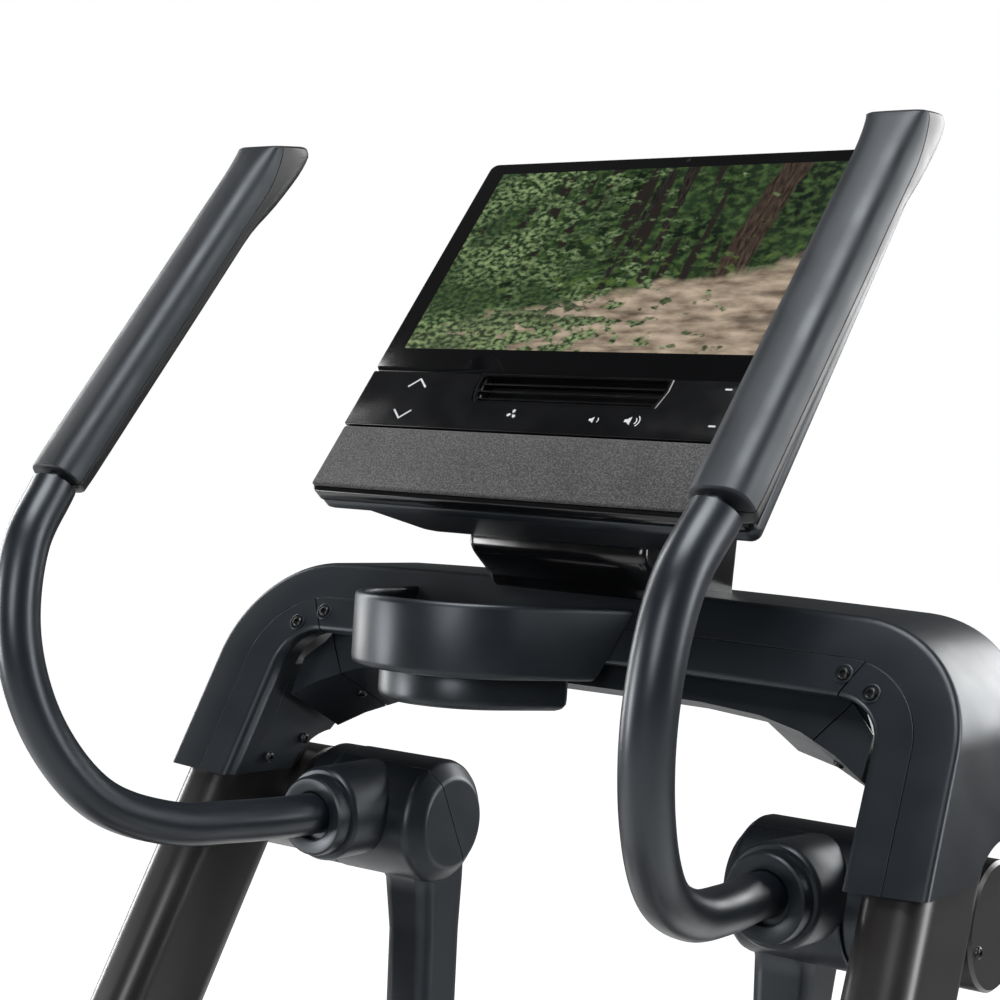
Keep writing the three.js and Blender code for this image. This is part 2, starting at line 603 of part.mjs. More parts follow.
// ---------------------------------------------------------------- drive
const HOUSING_HALF = 64;
const housingOutline = [
  flat(300, 118), flat(672, 118), flat(690, 136), flat(690, 400), flat(680, 560), flat(668, 700),
  flat(648, 790), flat(604, 850), flat(540, 876), flat(470, 876), flat(410, 850), flat(364, 800),
  flat(330, 700), flat(290, 520), flat(272, 400), flat(272, 300), flat(284, 160),
];
const housingCentre = flat(480, 480);
const shrunkHousing = (outline, scale) => outline.map((p) => housingCentre.clone().lerp(p, scale));
const insideHousing = housingOutline.map((p) => {
  const inward = housingCentre.clone().sub(p).normalize();
  return p.clone().addScaledVector(inward, WALL * 1.2);
});
const railNotch = box(-40, 40, 250, 700, 0, RAIL_TOP + 38);
const axleHole = rod(-80, 80, CRANK_Y, CRANK_Z, 17, 24);
const sleeveNotch = box(-32, 32, LIFT_Y - 27, LIFT_Y + 27, 80, 150);
const housingRows = [[GAP / 2, 1], [HOUSING_HALF - 8, 1], [HOUSING_HALF, 0.965]];
const housingSolid = loft(housingRows.map(([x, scale]) => ({
  section: shrunkHousing(housingOutline, scale),
  place: (u, v) => at(x, u, v),
})));
const housingHollow = prism(shrunkHousing(insideHousing, 0.985), alongX, -5, HOUSING_HALF - WALL);
const housingRight = cut(housingSolid, housingHollow, axleHole, railNotch, sleeveNotch);
addPart('housing_right', 'cover_plastic', housingRight);
addPart('housing_left', 'cover_plastic', mirrored(housingRight));

const INLET_Z = 170;
const inletPlace = (u, v, w) => at(u - 40, w, v);
addPart('power_inlet', 'gloss_black', join(
  prism(roundedRect(26, 22, 3, 3, 0, INLET_Z), inletPlace, 690.3, 693),
  prism(roundedRect(18, 14, 3, 3, 0, INLET_Z), inletPlace, 692, 696)));

// Bracket that stands on the base rail and holds the crank axle and the flywheel axle.
const bracketOutline = [
  flat(390, RAIL_TOP + GAP), flat(540, RAIL_TOP + GAP), flat(520, 400), flat(530, 690), flat(530, 750),
  flat(470, 750), flat(468, 690), flat(400, 400),
];
addPart('drive_bracket', 'frame_paint', cut(
  prism(bracketOutline, alongX, -26, -14),
  rod(-40, 0, CRANK_Y, CRANK_Z, 12.5, 24), rod(-40, 0, FLYWHEEL_Y, FLYWHEEL_Z, 8.5, 20)));

const PULLEY_X = [5, 23];
const CRANK_ARM_X = [72, 88];
addPart('drive_pulley', 'steel', join(
  turned([[PULLEY_X[0], PULLEY_RADIUS], [PULLEY_X[1], PULLEY_RADIUS]], CRANK_Y, CRANK_Z, 40),
  rod(-CRANK_ARM_X[0] + GAP, CRANK_ARM_X[0] - GAP, CRANK_Y, CRANK_Z, 12, 24)));
const rimProfile = [
  [28, FLYWHEEL_RADIUS - 4], [31, FLYWHEEL_RADIUS], [47, FLYWHEEL_RADIUS], [50, FLYWHEEL_RADIUS - 4]];
addPart('flywheel', 'iron', join(
  turned(rimProfile, FLYWHEEL_Y, FLYWHEEL_Z, 40),
  rod(PULLEY_X[0], 29, FLYWHEEL_Y, FLYWHEEL_Z, SMALL_PULLEY_RADIUS, 28),
  rod(-32, 58, FLYWHEEL_Y, FLYWHEEL_Z, 8, 20)));

// Belt round both pulleys: two arcs joined by the outer tangent lines.
const beltRun = flat(FLYWHEEL_Y - CRANK_Y, FLYWHEEL_Z - CRANK_Z);
const beltHeading = Math.atan2(beltRun.y, beltRun.x);
const beltSpread = Math.acos((PULLEY_RADIUS - SMALL_PULLEY_RADIUS) / beltRun.length());
function beltArc(y, z, radius, from, to, steps) {
  return Array.from({ length: steps + 1 }, (_, i) => {
    const angle = from + ((to - from) * i) / steps;
    return { y, z, radius, angle };
  });
}
const beltLeaves = beltHeading + beltSpread;
const beltReturns = beltHeading - beltSpread;
const beltPoints = [
  ...beltArc(CRANK_Y, CRANK_Z, PULLEY_RADIUS, beltLeaves, beltReturns + 2 * Math.PI, 24),
  ...beltArc(FLYWHEEL_Y, FLYWHEEL_Z, SMALL_PULLEY_RADIUS, beltReturns, beltLeaves, 8),
];
const beltSection = [flat(1.2, 7), flat(4.2, 7), flat(4.2, 21), flat(1.2, 21)];
addPart('drive_belt', 'belt', loft(beltPoints.map((p) => ({
  section: beltSection,
  place: (outward, x) => {
    const reach = p.radius + outward;
    return at(x, p.y + reach * Math.cos(p.angle), p.z + reach * Math.sin(p.angle));
  },
})), true));

// Crank arms, half a turn apart, each ending in the pin its pedal beam hangs on.
function crankArm(angle) {
  const reach = flat(CRANK_RADIUS * Math.sin(angle), CRANK_RADIUS * Math.cos(angle));
  const across = flat(reach.y, -reach.x).normalize();
  const corner = (s, w) => flat(CRANK_Y + reach.x * s + across.x * w, CRANK_Z + reach.y * s + across.y * w);
  const bar = prism([corner(0, -18), corner(1, -14), corner(1, 14), corner(0, 18)], alongX, ...CRANK_ARM_X);
  return join(
    bar, rod(...CRANK_ARM_X, CRANK_Y, CRANK_Z, 24, 24),
    rod(CRANK_ARM_X[0], CRANK_ARM_X[1] + 2.5, CRANK_Y + reach.x, CRANK_Z + reach.y, 18, 20));
}
addPart('crank_arm_right', 'steel', crankArm(CRANK_REST));
addPart('crank_arm_left', 'steel', mirrored(crankArm(CRANK_REST + Math.PI)));

// ---------------------------------------------------------------- swinging arms
// Everything here is drawn for the right side in its mean place, then mirrored for the left
// and turned about the hub axis by that side's phase.
const HANDLE_RADIUS = 14.5;
const handleCentres = [
  at(179, -19, 1283), at(179, -53, 1283), at(190, -108, 1284), at(199, -163, 1289), at(210, -215, 1310),
  at(221, -253, 1357), at(229, -269, 1414), at(234, -261, 1471), at(238.5, -236, 1508.5),
];
const CORE_RADIUS = 9.5;         // the tube is swaged down inside the grip
const coreCentres = [at(237.5, -241, 1502), at(238.6, -196, 1559), at(237, -109, 1669)];
function tubeSweep(centres, radius, sides, steps) {
  const curve = new THREE.CatmullRomCurve3(centres, false, 'centripetal');
  return loft(Array.from({ length: steps + 1 }, (_, i) => {
    const t = i / steps;
    const centre = curve.getPointAt(t);
    const run = curve.getTangentAt(t);
    const side = at(1, 0, 0).addScaledVector(run, -run.x).normalize();
    const rise = run.clone().cross(side);
    return {
      section: circle(radius, sides),
      place: (u, v) => centre.clone().addScaledVector(side, u).addScaledVector(rise, v),
    };
  }));
}

// Grip: rows of user-side edge and far-side edge in the (y, z) plane, from its lower lip to its nose.
const gripRows = [
  [-244.6, 1521.2, -221.4, 1502.8], [-240.9, 1525.9, -217.7, 1507.5], [-195, 1584, -171.8, 1565.6],
  [-148.4, 1642.6, -125.2, 1624.2], [-101.9, 1701.5, -78.7, 1683.1], [-82, 1726.6, -53.7, 1703.7],
  [-73, 1738, -28, 1730], [-69, 1743, -18, 1745], [-66, 1746, -22, 1751],
];
const GRIP_HALF_WIDTH = 19;
const gripSolid = loft(gripRows.map(([userY, userZ, farY, farZ], row) => {
  const user = flat(userY, userZ);
  const far = flat(farY, farZ);
  const length = user.distanceTo(far);
  const shrink = row === 0 || row === gripRows.length - 1 ? 3 : 0;
  const lean = 239.5 - 3 * (row / (gripRows.length - 1));
  return {
    section: roundedRect(2 * (GRIP_HALF_WIDTH - shrink), length - shrink, 12, 4),
    place: (u, v) => {
      const along = user.clone().lerp(far, 0.5 + v / length);
      return at(lean + u, along.x, along.y);
    },
  };
}));
const hollowCentres = [coreCentres[0], coreCentres[1], at(236.9, -108, 1670.3)];
const gripHollow = tubeSweep(hollowCentres, CORE_RADIUS + 0.6, 12, 4);
// The two halves of a grip part along a sheet that runs up the middle of its side.
function gripHalf(shift) {
  const sheet = gripRows.map(([userY, userZ, farY, farZ], row) => {
    const part = row < 5 ? 0.5 : 0.5 - 0.07 * (row - 4);
    return flat(userY + (farY - userY) * part + shift, userZ + (farZ - userZ) * part);
  });
  const start = sheet[0].clone().addScaledVector(sheet[1].clone().sub(sheet[0]).normalize(), -40);
  const end = sheet.at(-1).clone().add(flat(4, 30));
  return prism([start, ...sheet, end, flat(-400, 1800), flat(-420, 1400)], alongX, 150, 300);
}
const gripShell = cut(gripSolid, gripHollow);
const handleTube = join(
  tubeSweep(handleCentres, HANDLE_RADIUS, 12, 22), tubeSweep(coreCentres, CORE_RADIUS, 12, 4));
const gripFront = common(gripShell, gripHalf(-GAP / 2));
const gripBack = cut(gripShell, gripHalf(GAP / 2));

// Hub: two shells with a bevelled end, parted by a plane through the axis.
const HUB_BEVEL = 9;
const hubProfile = [
  [HUB_INNER, HUB_RADIUS - HUB_BEVEL], [HUB_INNER + HUB_BEVEL, HUB_RADIUS], [HUB_OUTER, HUB_RADIUS]];
const hubSolid = cut(
  turned(hubProfile, HUB_Y, HUB_Z, 36),
  rod(HUB_INNER + 8, HUB_OUTER + 5, HUB_Y, HUB_Z, AXLE_RADIUS + 0.5, 24));
const HUB_SEAM = 117 * DEG;
function besideSeam(shift) {
  const run = flat(Math.cos(HUB_SEAM), Math.sin(HUB_SEAM));
  const away = flat(run.y, -run.x);
  const corner = (s, w) => flat(HUB_Y + run.x * s + away.x * w, HUB_Z + run.y * s + away.y * w);
  return prism([corner(-90, shift), corner(-90, 90), corner(90, 90), corner(90, shift)], alongX, 100, 240);
}
const hubCap = common(hubSolid, besideSeam(GAP / 2));
const hubBase = cut(hubSolid, besideSeam(-GAP / 2));

// Socket for the handle tube, with a stepped bush at its mouth.
const SOCKET_X = 179;
const SOCKET_Z = 1281;
const hubKeepOut = rod(90, 240, HUB_Y, HUB_Z, HUB_RADIUS + GAP, 36);
const socketRows = [[HUB_Y, 33], [-30, 33], [-36, 28.5], [-42, 27]];
const socketSolid = loft(socketRows.map(([y, radius]) => ({
  section: circle(radius, 28, SOCKET_X, SOCKET_Z),
  place: (u, v) => at(u, y, v),
})));
const behindHub = box(100, 240, HUB_Y - 5, HUB_Y + 100, HUB_Z - 60, HUB_Z + 60);
const handleBore = prism(circle(HANDLE_RADIUS + GAP + 0.4, 20, SOCKET_X, 1283), alongY, -80, -18);
const socket = cut(socketSolid, hubKeepOut, behindHub, handleBore);

// Lower arm: a tapered box from under the hub to the beam pivot.
const ARM_INNER = 132;
const armRows = [
  [1278, 180, 10, 84], [1252, 178, 18, 84], [1228, 175, 34, 84], [1190, 172, 37, 82], [900, 170, 38, 82],
  [360, 168, 38, 82], [330, 168, 40, 80], [316, 168, 48, 72],
];
// Rows of height, outer side in x, near side and far side in y.
const armSolid = loft(armRows.map(([z, outerX, y0, y1]) => ({
  section: roundedRect(outerX - ARM_INNER, y1 - y0, 11, 4, (outerX + ARM_INNER) / 2, (y0 + y1) / 2),
  place: (u, v) => at(u, v, z),
})));
const PIN_RADIUS = 11;
const aboveAxis = box(100, 200, 0, 120, HUB_Z, HUB_Z + 60);
const pinHole = rod(120, 180, BEAM_PIVOT_Y, BEAM_PIVOT_Z, PIN_RADIUS + GAP, 20);
const lowerArm = cut(armSolid, hubKeepOut, aboveAxis, pinHole);

const armParts = [
  ['hub_cap_shell', 'cover_plastic', hubCap],
  ['hub_base_shell', 'cover_plastic', hubBase],
  ['handle_socket', 'cover_plastic', cut(socket, armSolid)],
  ['handle_tube', 'tube_paint', handleTube],
  ['grip_front', 'grip_rubber', gripFront],
  ['grip_back', 'grip_trim', gripBack],
  ['lower_arm', 'tube_paint', lowerArm],
];
for (const [name, slot, geometry] of armParts) {
  addPart(`${name}_right`, slot, turnedAboutX(geometry, RIGHT_PHASE, HUB_Y, HUB_Z));
  addPart(`${name}_left`, slot, turnedAboutX(mirrored(geometry), LEFT_PHASE, HUB_Y, HUB_Z));
}

// Axles: fixed to the bosses, with the collar that closes the outer end of each hub.
const COLLAR_OUTER = 228;
const collarProfile = [
  [HUB_OUTER + 0.6, HUB_RADIUS - 2], [HUB_OUTER + 3, HUB_RADIUS - 0.5], [COLLAR_OUTER, HUB_RADIUS - 0.5]];
const axle = join(
  rod(HUB_INNER + 10, BOSS_FACE - GAP, HUB_Y, HUB_Z, AXLE_RADIUS, 24),
  turned(collarProfile, HUB_Y, HUB_Z, 36));
addPart('pivot_axle_right', 'cover_plastic', axle);
addPart('pivot_axle_left', 'cover_plastic', mirrored(axle));

// ---------------------------------------------------------------- pedal beams
const BEAM_X = [92, 128];
const REAR_REACH = 500;          // beam length behind its pivot
const BEAM_HALF_HEIGHT = 24;
const PEDAL_CENTRE = -375;       // along the beam, behind the pivot
const PEDAL_LENGTH = 330;
const PEDAL_RIM = 30;
const PEDAL_WALL = 6;
const PEDAL_SEAT = 35;           // underside of the pedal above the beam's centre line
const PEDAL_X = [46, 204];
function pivotPlace(phase) {
  const run = flat(BEAM_PIVOT_Y - HUB_Y, BEAM_PIVOT_Z - HUB_Z);
  return flat(
    HUB_Y + run.x * Math.cos(phase) - run.y * Math.sin(phase),
    HUB_Z + run.x * Math.sin(phase) + run.y * Math.cos(phase));
}
function beamGeometry(angle, phase) {
  const pivot = pivotPlace(phase);
  const pin = flat(CRANK_Y + CRANK_RADIUS * Math.sin(angle), CRANK_Z + CRANK_RADIUS * Math.cos(angle));
  const run = pin.clone().sub(pivot).normalize();
  const rise = flat(-run.y, run.x);
  const onBeam = (s, h) => flat(pivot.x + run.x * s + rise.x * h, pivot.y + run.y * s + rise.y * h);
  const upperEdge = [[-REAR_REACH, 16], [-REAR_REACH + 20, BEAM_HALF_HEIGHT], [-60, 28], [0, 32],
    [BEAM_LENGTH, BEAM_HALF_HEIGHT]];
  const side = [...upperEdge.map(([s, h]) => [s, -h]), ...upperEdge.toReversed()];
  const eye = circle(30, 24).map((p) => onBeam(BEAM_LENGTH + p.x, p.y));
  const beam = join(
    prism(side.map(([s, h]) => onBeam(s, h)), alongX, ...BEAM_X),
    prism(eye, alongX, ...BEAM_X),
    rod(BEAM_X[0] + 5, 174, pivot.x, pivot.y, PIN_RADIUS, 20));
  const toe = PEDAL_LENGTH / 2;
  const pedalAt = (s, h) => onBeam(PEDAL_CENTRE + s, PEDAL_SEAT + h);
  const shell = [[-toe, 0], [-toe + 30, -6], [toe - 30, -6], [toe, 6], [toe, PEDAL_RIM], [-toe, PEDAL_RIM]];
  const inside = toe - PEDAL_WALL;
  const hollow = [
    [-inside, PEDAL_WALL], [inside, PEDAL_WALL], [inside, 2 * PEDAL_RIM], [-inside, 2 * PEDAL_RIM]];
  const pedal = cut(
    prism(shell.map(([s, h]) => pedalAt(s, h)), alongX, ...PEDAL_X),
    prism(hollow.map(([s, h]) => pedalAt(s, h)), alongX, PEDAL_X[0] + PEDAL_WALL, PEDAL_X[1] - PEDAL_WALL));
  return { beam, pedal };
}
const rightBeam = beamGeometry(CRANK_REST, RIGHT_PHASE);
const leftBeam = beamGeometry(CRANK_REST + Math.PI, LEFT_PHASE);
addPart('pedal_beam_right', 'tube_paint', rightBeam.beam);
addPart('pedal_beam_left', 'tube_paint', mirrored(leftBeam.beam));
addPart('pedal_right', 'tread', rightBeam.pedal);
addPart('pedal_left', 'tread', mirrored(leftBeam.pedal));

// ---------------------------------------------------------------- mast and bottle tray
const MAST_HALF_WIDTH = 70;
const MAST_EDGE = 6;
const MAST_EDGE_SCALE = 0.94;    // the mast's side faces are a little smaller than its middle
const mastCentre = flat(50, 1500);
const mastProfile = [
  flat(5, 1450), flat(94, 1450), flat(100, 1520), flat(90, 1600),
  flat(20, 1560), flat(-28, 1478), flat(1, 1457),
];
const mastRows = [
  [-MAST_HALF_WIDTH, MAST_EDGE_SCALE], [-MAST_HALF_WIDTH + MAST_EDGE, 1],
  [MAST_HALF_WIDTH - MAST_EDGE, 1], [MAST_HALF_WIDTH, MAST_EDGE_SCALE],
];
const mastBody = loft(mastRows.map(([x, scale]) => ({
  section: mastProfile.map((p) => mastCentre.clone().lerp(p, scale)),
  place: (u, v) => at(x, u, v),
})));
// The room that the crossbar's covers and the console take up, cut out of the mast.
const crossbarTop = -OUTER_BAND - ARCH_CROWN - GAP;
const archEnvelope = loft([-200, 200].map((x) => ({
  section: [
    flat(crossbarTop, -GAP), flat(40, -GAP), flat(40, ARCH_DEPTH + GAP), flat(crossbarTop, ARCH_DEPTH + GAP)],
  place: (down, back) => onArchLevel(x, down, back),
})));
const bulgeEnvelope = consolePlate(
  consoleRect(BULGE_HALF_WIDTH + 20, CONSOLE_BOTTOM - 4, 60), BULGE_BACK - GAP, 20);
const slabEnvelope = consolePlate(consoleRect(180, CONSOLE_BOTTOM - 1, 120), BACK_SHELL_BACK - GAP, 20);
addPart('console_mast', 'gloss_black', cut(mastBody, archEnvelope, bulgeEnvelope, slabEnvelope));

// Tray and cup, fixed to the face of the crossbar left of the middle. Seen from above, both are
// round on the user's side and have a flat right side that slants back to the crossbar.
const TRAY_TOP = 1444;
const TRAY_BOTTOM = 1396;
const TRAY_WALL = 6;
const TRAY_FLOOR = 8;
const TRAY_RADIUS = 77;
const TRAY_BACK = 25;            // behind the face of the crossbar, where the tray is trimmed
const ROUND_CENTRE = flat(-58, -33);
const FLAT_SIDE_FACES = -28.6 * DEG;
const CUP_RADIUS = 58;
const CUP_BACK = -14;
const CUP_BOTTOM = 1374;
const CUP_TOP = TRAY_BOTTOM + 4; // the cup hangs in a rebate under the tray's floor
const CUP_WALL = 4;
const CUP_FLOOR = 5;
const CUP_CORNER = 7;

function roundFrontOutline(radius, back, corner) {
  const steps = 14;
  const points = Array.from({ length: steps + 1 }, (_, i) => {
    const angle = -Math.PI + (FLAT_SIDE_FACES + Math.PI) * (i / steps);
    return flat(ROUND_CENTRE.x + radius * Math.cos(angle), ROUND_CENTRE.y + radius * Math.sin(angle));
  });
  const flatStart = points.at(-1);
  const slant = -Math.tan(FLAT_SIDE_FACES);
  const flatEnd = flat(flatStart.x + (back - corner - flatStart.y) * slant, back - corner);
  points.push(flatEnd, flat(flatEnd.x - corner * (1 - slant), back));
  points.push(flat(ROUND_CENTRE.x - radius + corner, back), flat(ROUND_CENTRE.x - radius, back - corner));
  return points;
}
const trayOutline = (inset) => roundFrontOutline(TRAY_RADIUS - inset, TRAY_BACK, 2);
const cupOutline = (grow) => roundFrontOutline(CUP_RADIUS + grow, CUP_BACK + grow, CUP_CORNER);
const floorOpening = roundFrontOutline(CUP_RADIUS - CUP_WALL, TRAY_BACK, CUP_CORNER);
const archFront = loft([-300, 300].map((x) => ({
  section: [flat(-120, -GAP - 0.2), flat(140, -GAP - 0.2), flat(140, 140), flat(-120, 140)],
  place: (down, back) => onArch(x, down, back),
})));
addPart('bottle_tray', 'cover_plastic', cut(
  prism(trayOutline(0), alongZ, TRAY_BOTTOM, TRAY_TOP),
  prism(trayOutline(TRAY_WALL), alongZ, TRAY_BOTTOM + TRAY_FLOOR, TRAY_TOP + 10),
  prism(cupOutline(GAP), alongZ, TRAY_BOTTOM - 5, CUP_TOP + GAP),
  prism(floorOpening, alongZ, TRAY_BOTTOM, TRAY_BOTTOM + TRAY_FLOOR + 0.5),
  archFront));
const cupSolid = join(
  prism(cupOutline(0), alongZ, CUP_BOTTOM + 3, CUP_TOP),
  prism(cupOutline(-2), alongZ, CUP_BOTTOM, CUP_BOTTOM + 4));
addPart('cup_insert', 'cover_plastic', cut(
  cupSolid, prism(cupOutline(-CUP_WALL), alongZ, CUP_BOTTOM + CUP_FLOOR, TRAY_TOP)));

export default group;
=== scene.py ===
"""Looks for the elliptical trainer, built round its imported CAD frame.

Lengths below are millimetres in the frame's axes: +X the user's right, +Y the way the user faces, +Z up.
"""

import json
import math

import bmesh
import bpy
from mathutils import Matrix, Vector


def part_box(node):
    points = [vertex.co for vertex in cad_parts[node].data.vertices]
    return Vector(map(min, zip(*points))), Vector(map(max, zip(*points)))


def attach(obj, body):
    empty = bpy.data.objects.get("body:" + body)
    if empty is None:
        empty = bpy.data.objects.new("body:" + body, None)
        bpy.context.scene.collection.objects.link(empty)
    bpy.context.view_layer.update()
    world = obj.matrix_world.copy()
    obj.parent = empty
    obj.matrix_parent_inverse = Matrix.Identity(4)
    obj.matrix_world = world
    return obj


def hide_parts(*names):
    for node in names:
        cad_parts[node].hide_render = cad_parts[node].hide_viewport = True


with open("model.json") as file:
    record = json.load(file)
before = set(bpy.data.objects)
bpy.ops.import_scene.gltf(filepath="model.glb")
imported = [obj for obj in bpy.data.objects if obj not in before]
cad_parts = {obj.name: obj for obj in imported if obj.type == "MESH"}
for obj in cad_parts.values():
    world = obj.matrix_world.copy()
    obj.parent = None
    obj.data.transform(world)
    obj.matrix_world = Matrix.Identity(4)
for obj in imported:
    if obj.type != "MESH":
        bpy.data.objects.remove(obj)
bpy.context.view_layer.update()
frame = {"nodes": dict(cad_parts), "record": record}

MM = 0.001
GAP = 0.3
WALL = 3.5


def assign(thing, **settings):
    for key, value in settings.items():
        setattr(thing, key, value)
    return thing


def placed(name, data):
    """A new object in the scene."""
    thing = bpy.data.objects.new(name, data)
    bpy.context.scene.collection.objects.link(thing)
    return thing


# ---------------- camera
CAMERA_PLACE = Vector((0.759, -1.139, 1.533))
CAMERA_AZIMUTH = math.radians(35.8)
CAMERA_DIP = math.radians(1.0)
CAMERA_ROLL = math.radians(3.5)
CAMERA_LENS = 74.23
SENSOR_WIDTH = 36.0


def add_camera():
    data = assign(bpy.data.cameras.new("camera"), sensor_width=SENSOR_WIDTH, lens=CAMERA_LENS)
    camera = placed("camera", data)
    camera.matrix_world = (
        Matrix.Translation(CAMERA_PLACE) @ Matrix.Rotation(CAMERA_AZIMUTH, 4, "Z")
        @ Matrix.Rotation(math.pi / 2 - CAMERA_DIP, 4, "X") @ Matrix.Rotation(CAMERA_ROLL, 4, "Z"))
    bpy.context.scene.camera = camera


add_camera()


# ---------------- mesh helpers
def point(x, y, z):
    return Vector((x, y, z))


def mesh_object(name, points, faces):
    mesh = bpy.data.meshes.new(name)
    mesh.from_pydata([p * MM for p in points], [], faces)
    work = bmesh.new()
    work.from_mesh(mesh)
    bmesh.ops.recalc_face_normals(work, faces=work.faces)
    work.to_mesh(mesh)
    work.free()
    return placed(name, mesh)


def loft(name, rings, loop=False):
    """A closed skin through rings of points, capped at both ends unless it closes on itself."""
    count = len(rings[0])
    points = [p for ring in rings for p in ring]
    faces = []
    spans = len(rings) if loop else len(rings) - 1
    for s in range(spans):
        near = s * count
        far = ((s + 1) % len(rings)) * count
        for i in range(count):
            j = (i + 1) % count
            faces.append((near + i, near + j, far + j, far + i))
    if not loop:
        faces.append(tuple(reversed(range(count))))
        faces.append(tuple(range(len(points) - count, len(points))))
    return mesh_object(name, points, faces)


def stack(name, layers, place, loop=False):
    """A skin through outlines, each at its own depth, from rows of (outline, w)."""
    return loft(name, [[place(u, v, w) for u, v in outline] for outline, w in layers], loop)


def prism(name, outline, place, start, end):
    return stack(name, [(outline, start), (outline, end)], place)


def along_x(u, v, w):
    return point(w, u, v)


def circle(radius, sides, u=0.0, v=0.0):
    turn = 2 * math.pi / sides
    return [(u + radius * math.cos(i * turn), v + radius * math.sin(i * turn)) for i in range(sides)]


def rounded_rect(width, height, radius, steps=6, u=0.0, v=0.0):
    points = []
    for quarter, (su, sv) in enumerate([(1, 1), (-1, 1), (-1, -1), (1, -1)]):
        for i in range(steps + 1):
            angle = math.radians(90 * (quarter + i / steps))
            points.append((
                u + su * (width / 2 - radius) + radius * math.cos(angle),
                v + sv * (height / 2 - radius) + radius * math.sin(angle),
            ))
    return points


def filleted(corners, steps=5):
    """A closed outline from (u, v, radius) corners, each corner rounded off by its radius."""
    points = []
    total = len(corners)
    for i, (u, v, radius) in enumerate(corners):
        here = Vector((u, v))
        if radius <= 0:
            points.append((u, v))
            continue
        before = Vector(corners[i - 1][:2]) - here
        after = Vector(corners[(i + 1) % total][:2]) - here
        half = before.angle(after) / 2
        reach = min(radius / math.tan(half), 0.49 * before.length, 0.49 * after.length)
        start = here + before.normalized() * reach
        end = here + after.normalized() * reach
        for k in range(steps + 1):
            t = k / steps
            spot = start * (1 - t) ** 2 + here * 2 * t * (1 - t) + end * t * t
            points.append((spot.x, spot.y))
    return points


def turned(name, profile, y, z, sides=96):
    """A solid turned about an axis parallel to X, from rows of (x, radius)."""
    return stack(name, [(circle(radius, sides, y, z), x) for x, radius in profile], along_x)


def rod(name, start, end, y, z, radius, sides=64):
    return turned(name, [(start, radius), (end, radius)], y, z, sides)


def smooth_path(knots, steps):
    """Centripetal Catmull-Rom through the knots, sampled evenly by length, with tangents."""
    ends = [knots[0] * 2 - knots[1], *knots, knots[-1] * 2 - knots[-2]]
    fine = []
    per_span = 40
    for k in range(len(knots) - 1):
        a, b, c, d = ends[k:k + 4]
        gaps = [max((q - p).length ** 0.5, 1e-6) for p, q in ((a, b), (b, c), (c, d))]
        leave = ((b - a) / gaps[0] - (c - a) / (gaps[0] + gaps[1]) + (c - b) / gaps[1]) * gaps[1]
        arrive = ((c - b) / gaps[1] - (d - b) / (gaps[1] + gaps[2]) + (d - c) / gaps[2]) * gaps[1]
        for i in range(per_span):
            t = i / per_span
            fine.append(
                b + leave * t + (b * -3 + c * 3 - leave * 2 - arrive) * t * t
                + (b * 2 - c * 2 + leave + arrive) * t ** 3)
    fine.append(knots[-1].copy())
    lengths = [0.0]
    for p, q in zip(fine, fine[1:]):
        lengths.append(lengths[-1] + (q - p).length)
    places = []
    k = 0
    for i in range(steps + 1):
        target = lengths[-1] * i / steps
        while k < len(fine) - 2 and lengths[k + 1] < target:
            k += 1
        span = max(lengths[k + 1] - lengths[k], 1e-9)
        t = (target - lengths[k]) / span
        places.append((fine[k].lerp(fine[k + 1], t), (fine[k + 1] - fine[k]).normalized()))
    return places


def sweep(name, knots, radius, sides=48, steps=120):
    rings = []
    for centre, run in smooth_path(knots, steps):
        side = (point(1, 0, 0) - run * run.x).normalized()
        rise = run.cross(side)
        rings.append([centre + side * u + rise * v for u, v in circle(radius, sides)])
    return loft(name, rings)


def modified(thing, kind, **settings):
    assign(thing.modifiers.new(kind.lower(), kind), **settings)


def combine(thing, tool, operation="DIFFERENCE"):
    """A boolean with a tool, which is used up."""
    modified(thing, "BOOLEAN", operation=operation, solver="EXACT", object=tool)
    graph = bpy.context.evaluated_depsgraph_get()
    mesh = bpy.data.meshes.new_from_object(thing.evaluated_get(graph))
    thing.modifiers.clear()
    thing.data = mesh
    bpy.data.objects.remove(tool)
    return thing


def cut(thing, *tools):
    for tool in tools:
        combine(thing, tool)
    return thing


def join(thing, *others):
    for other in others:
        combine(thing, other, "UNION")
    return thing


def sliced(thing, place, away):
    """Removes what lies beyond a plane, and closes the cut."""
    work = bmesh.new()
    work.from_mesh(thing.data)
    everything = work.verts[:] + work.edges[:] + work.faces[:]
    result = bmesh.ops.bisect_plane(
        work, geom=everything, plane_co=place * MM, plane_no=away, clear_outer=True, dist=1e-7)
    rim = [item for item in result["geom_cut"] if isinstance(item, bmesh.types.BMEdge)]
    bmesh.ops.contextual_create(work, geom=rim)
    bmesh.ops.recalc_face_normals(work, faces=work.faces)
    work.to_mesh(thing.data)
    work.free()
    return thing


def copied(thing, name):
    return placed(name, thing.data.copy())


def mirrored(thing, name):
    twin = copied(thing, name)
    for vertex in twin.data.vertices:
        vertex.co.x = -vertex.co.x
    twin.data.flip_normals()
    return twin


def paired(thing, name):
    """A right-hand piece and its mirror image, named for their sides."""
    left = mirrored(thing, f"{name}_left")
    thing.name = f"{name}_right"
    return (thing, "right"), (left, "left")


def tilted(thing, angle, y, z):
    """Turns a piece's mesh about an axis parallel to X."""
    centre = Matrix.Translation(point(0, y, z) * MM)
    thing.data.transform(centre @ Matrix.Rotation(angle, 4, "X") @ centre.inverted())
    return thing


def smoothed(thing, angle=40.0):
    thing.data.polygons.foreach_set("use_smooth", [True] * len(thing.data.polygons))
    thing.data.set_sharp_from_angle(angle=math.radians(angle))
    return thing


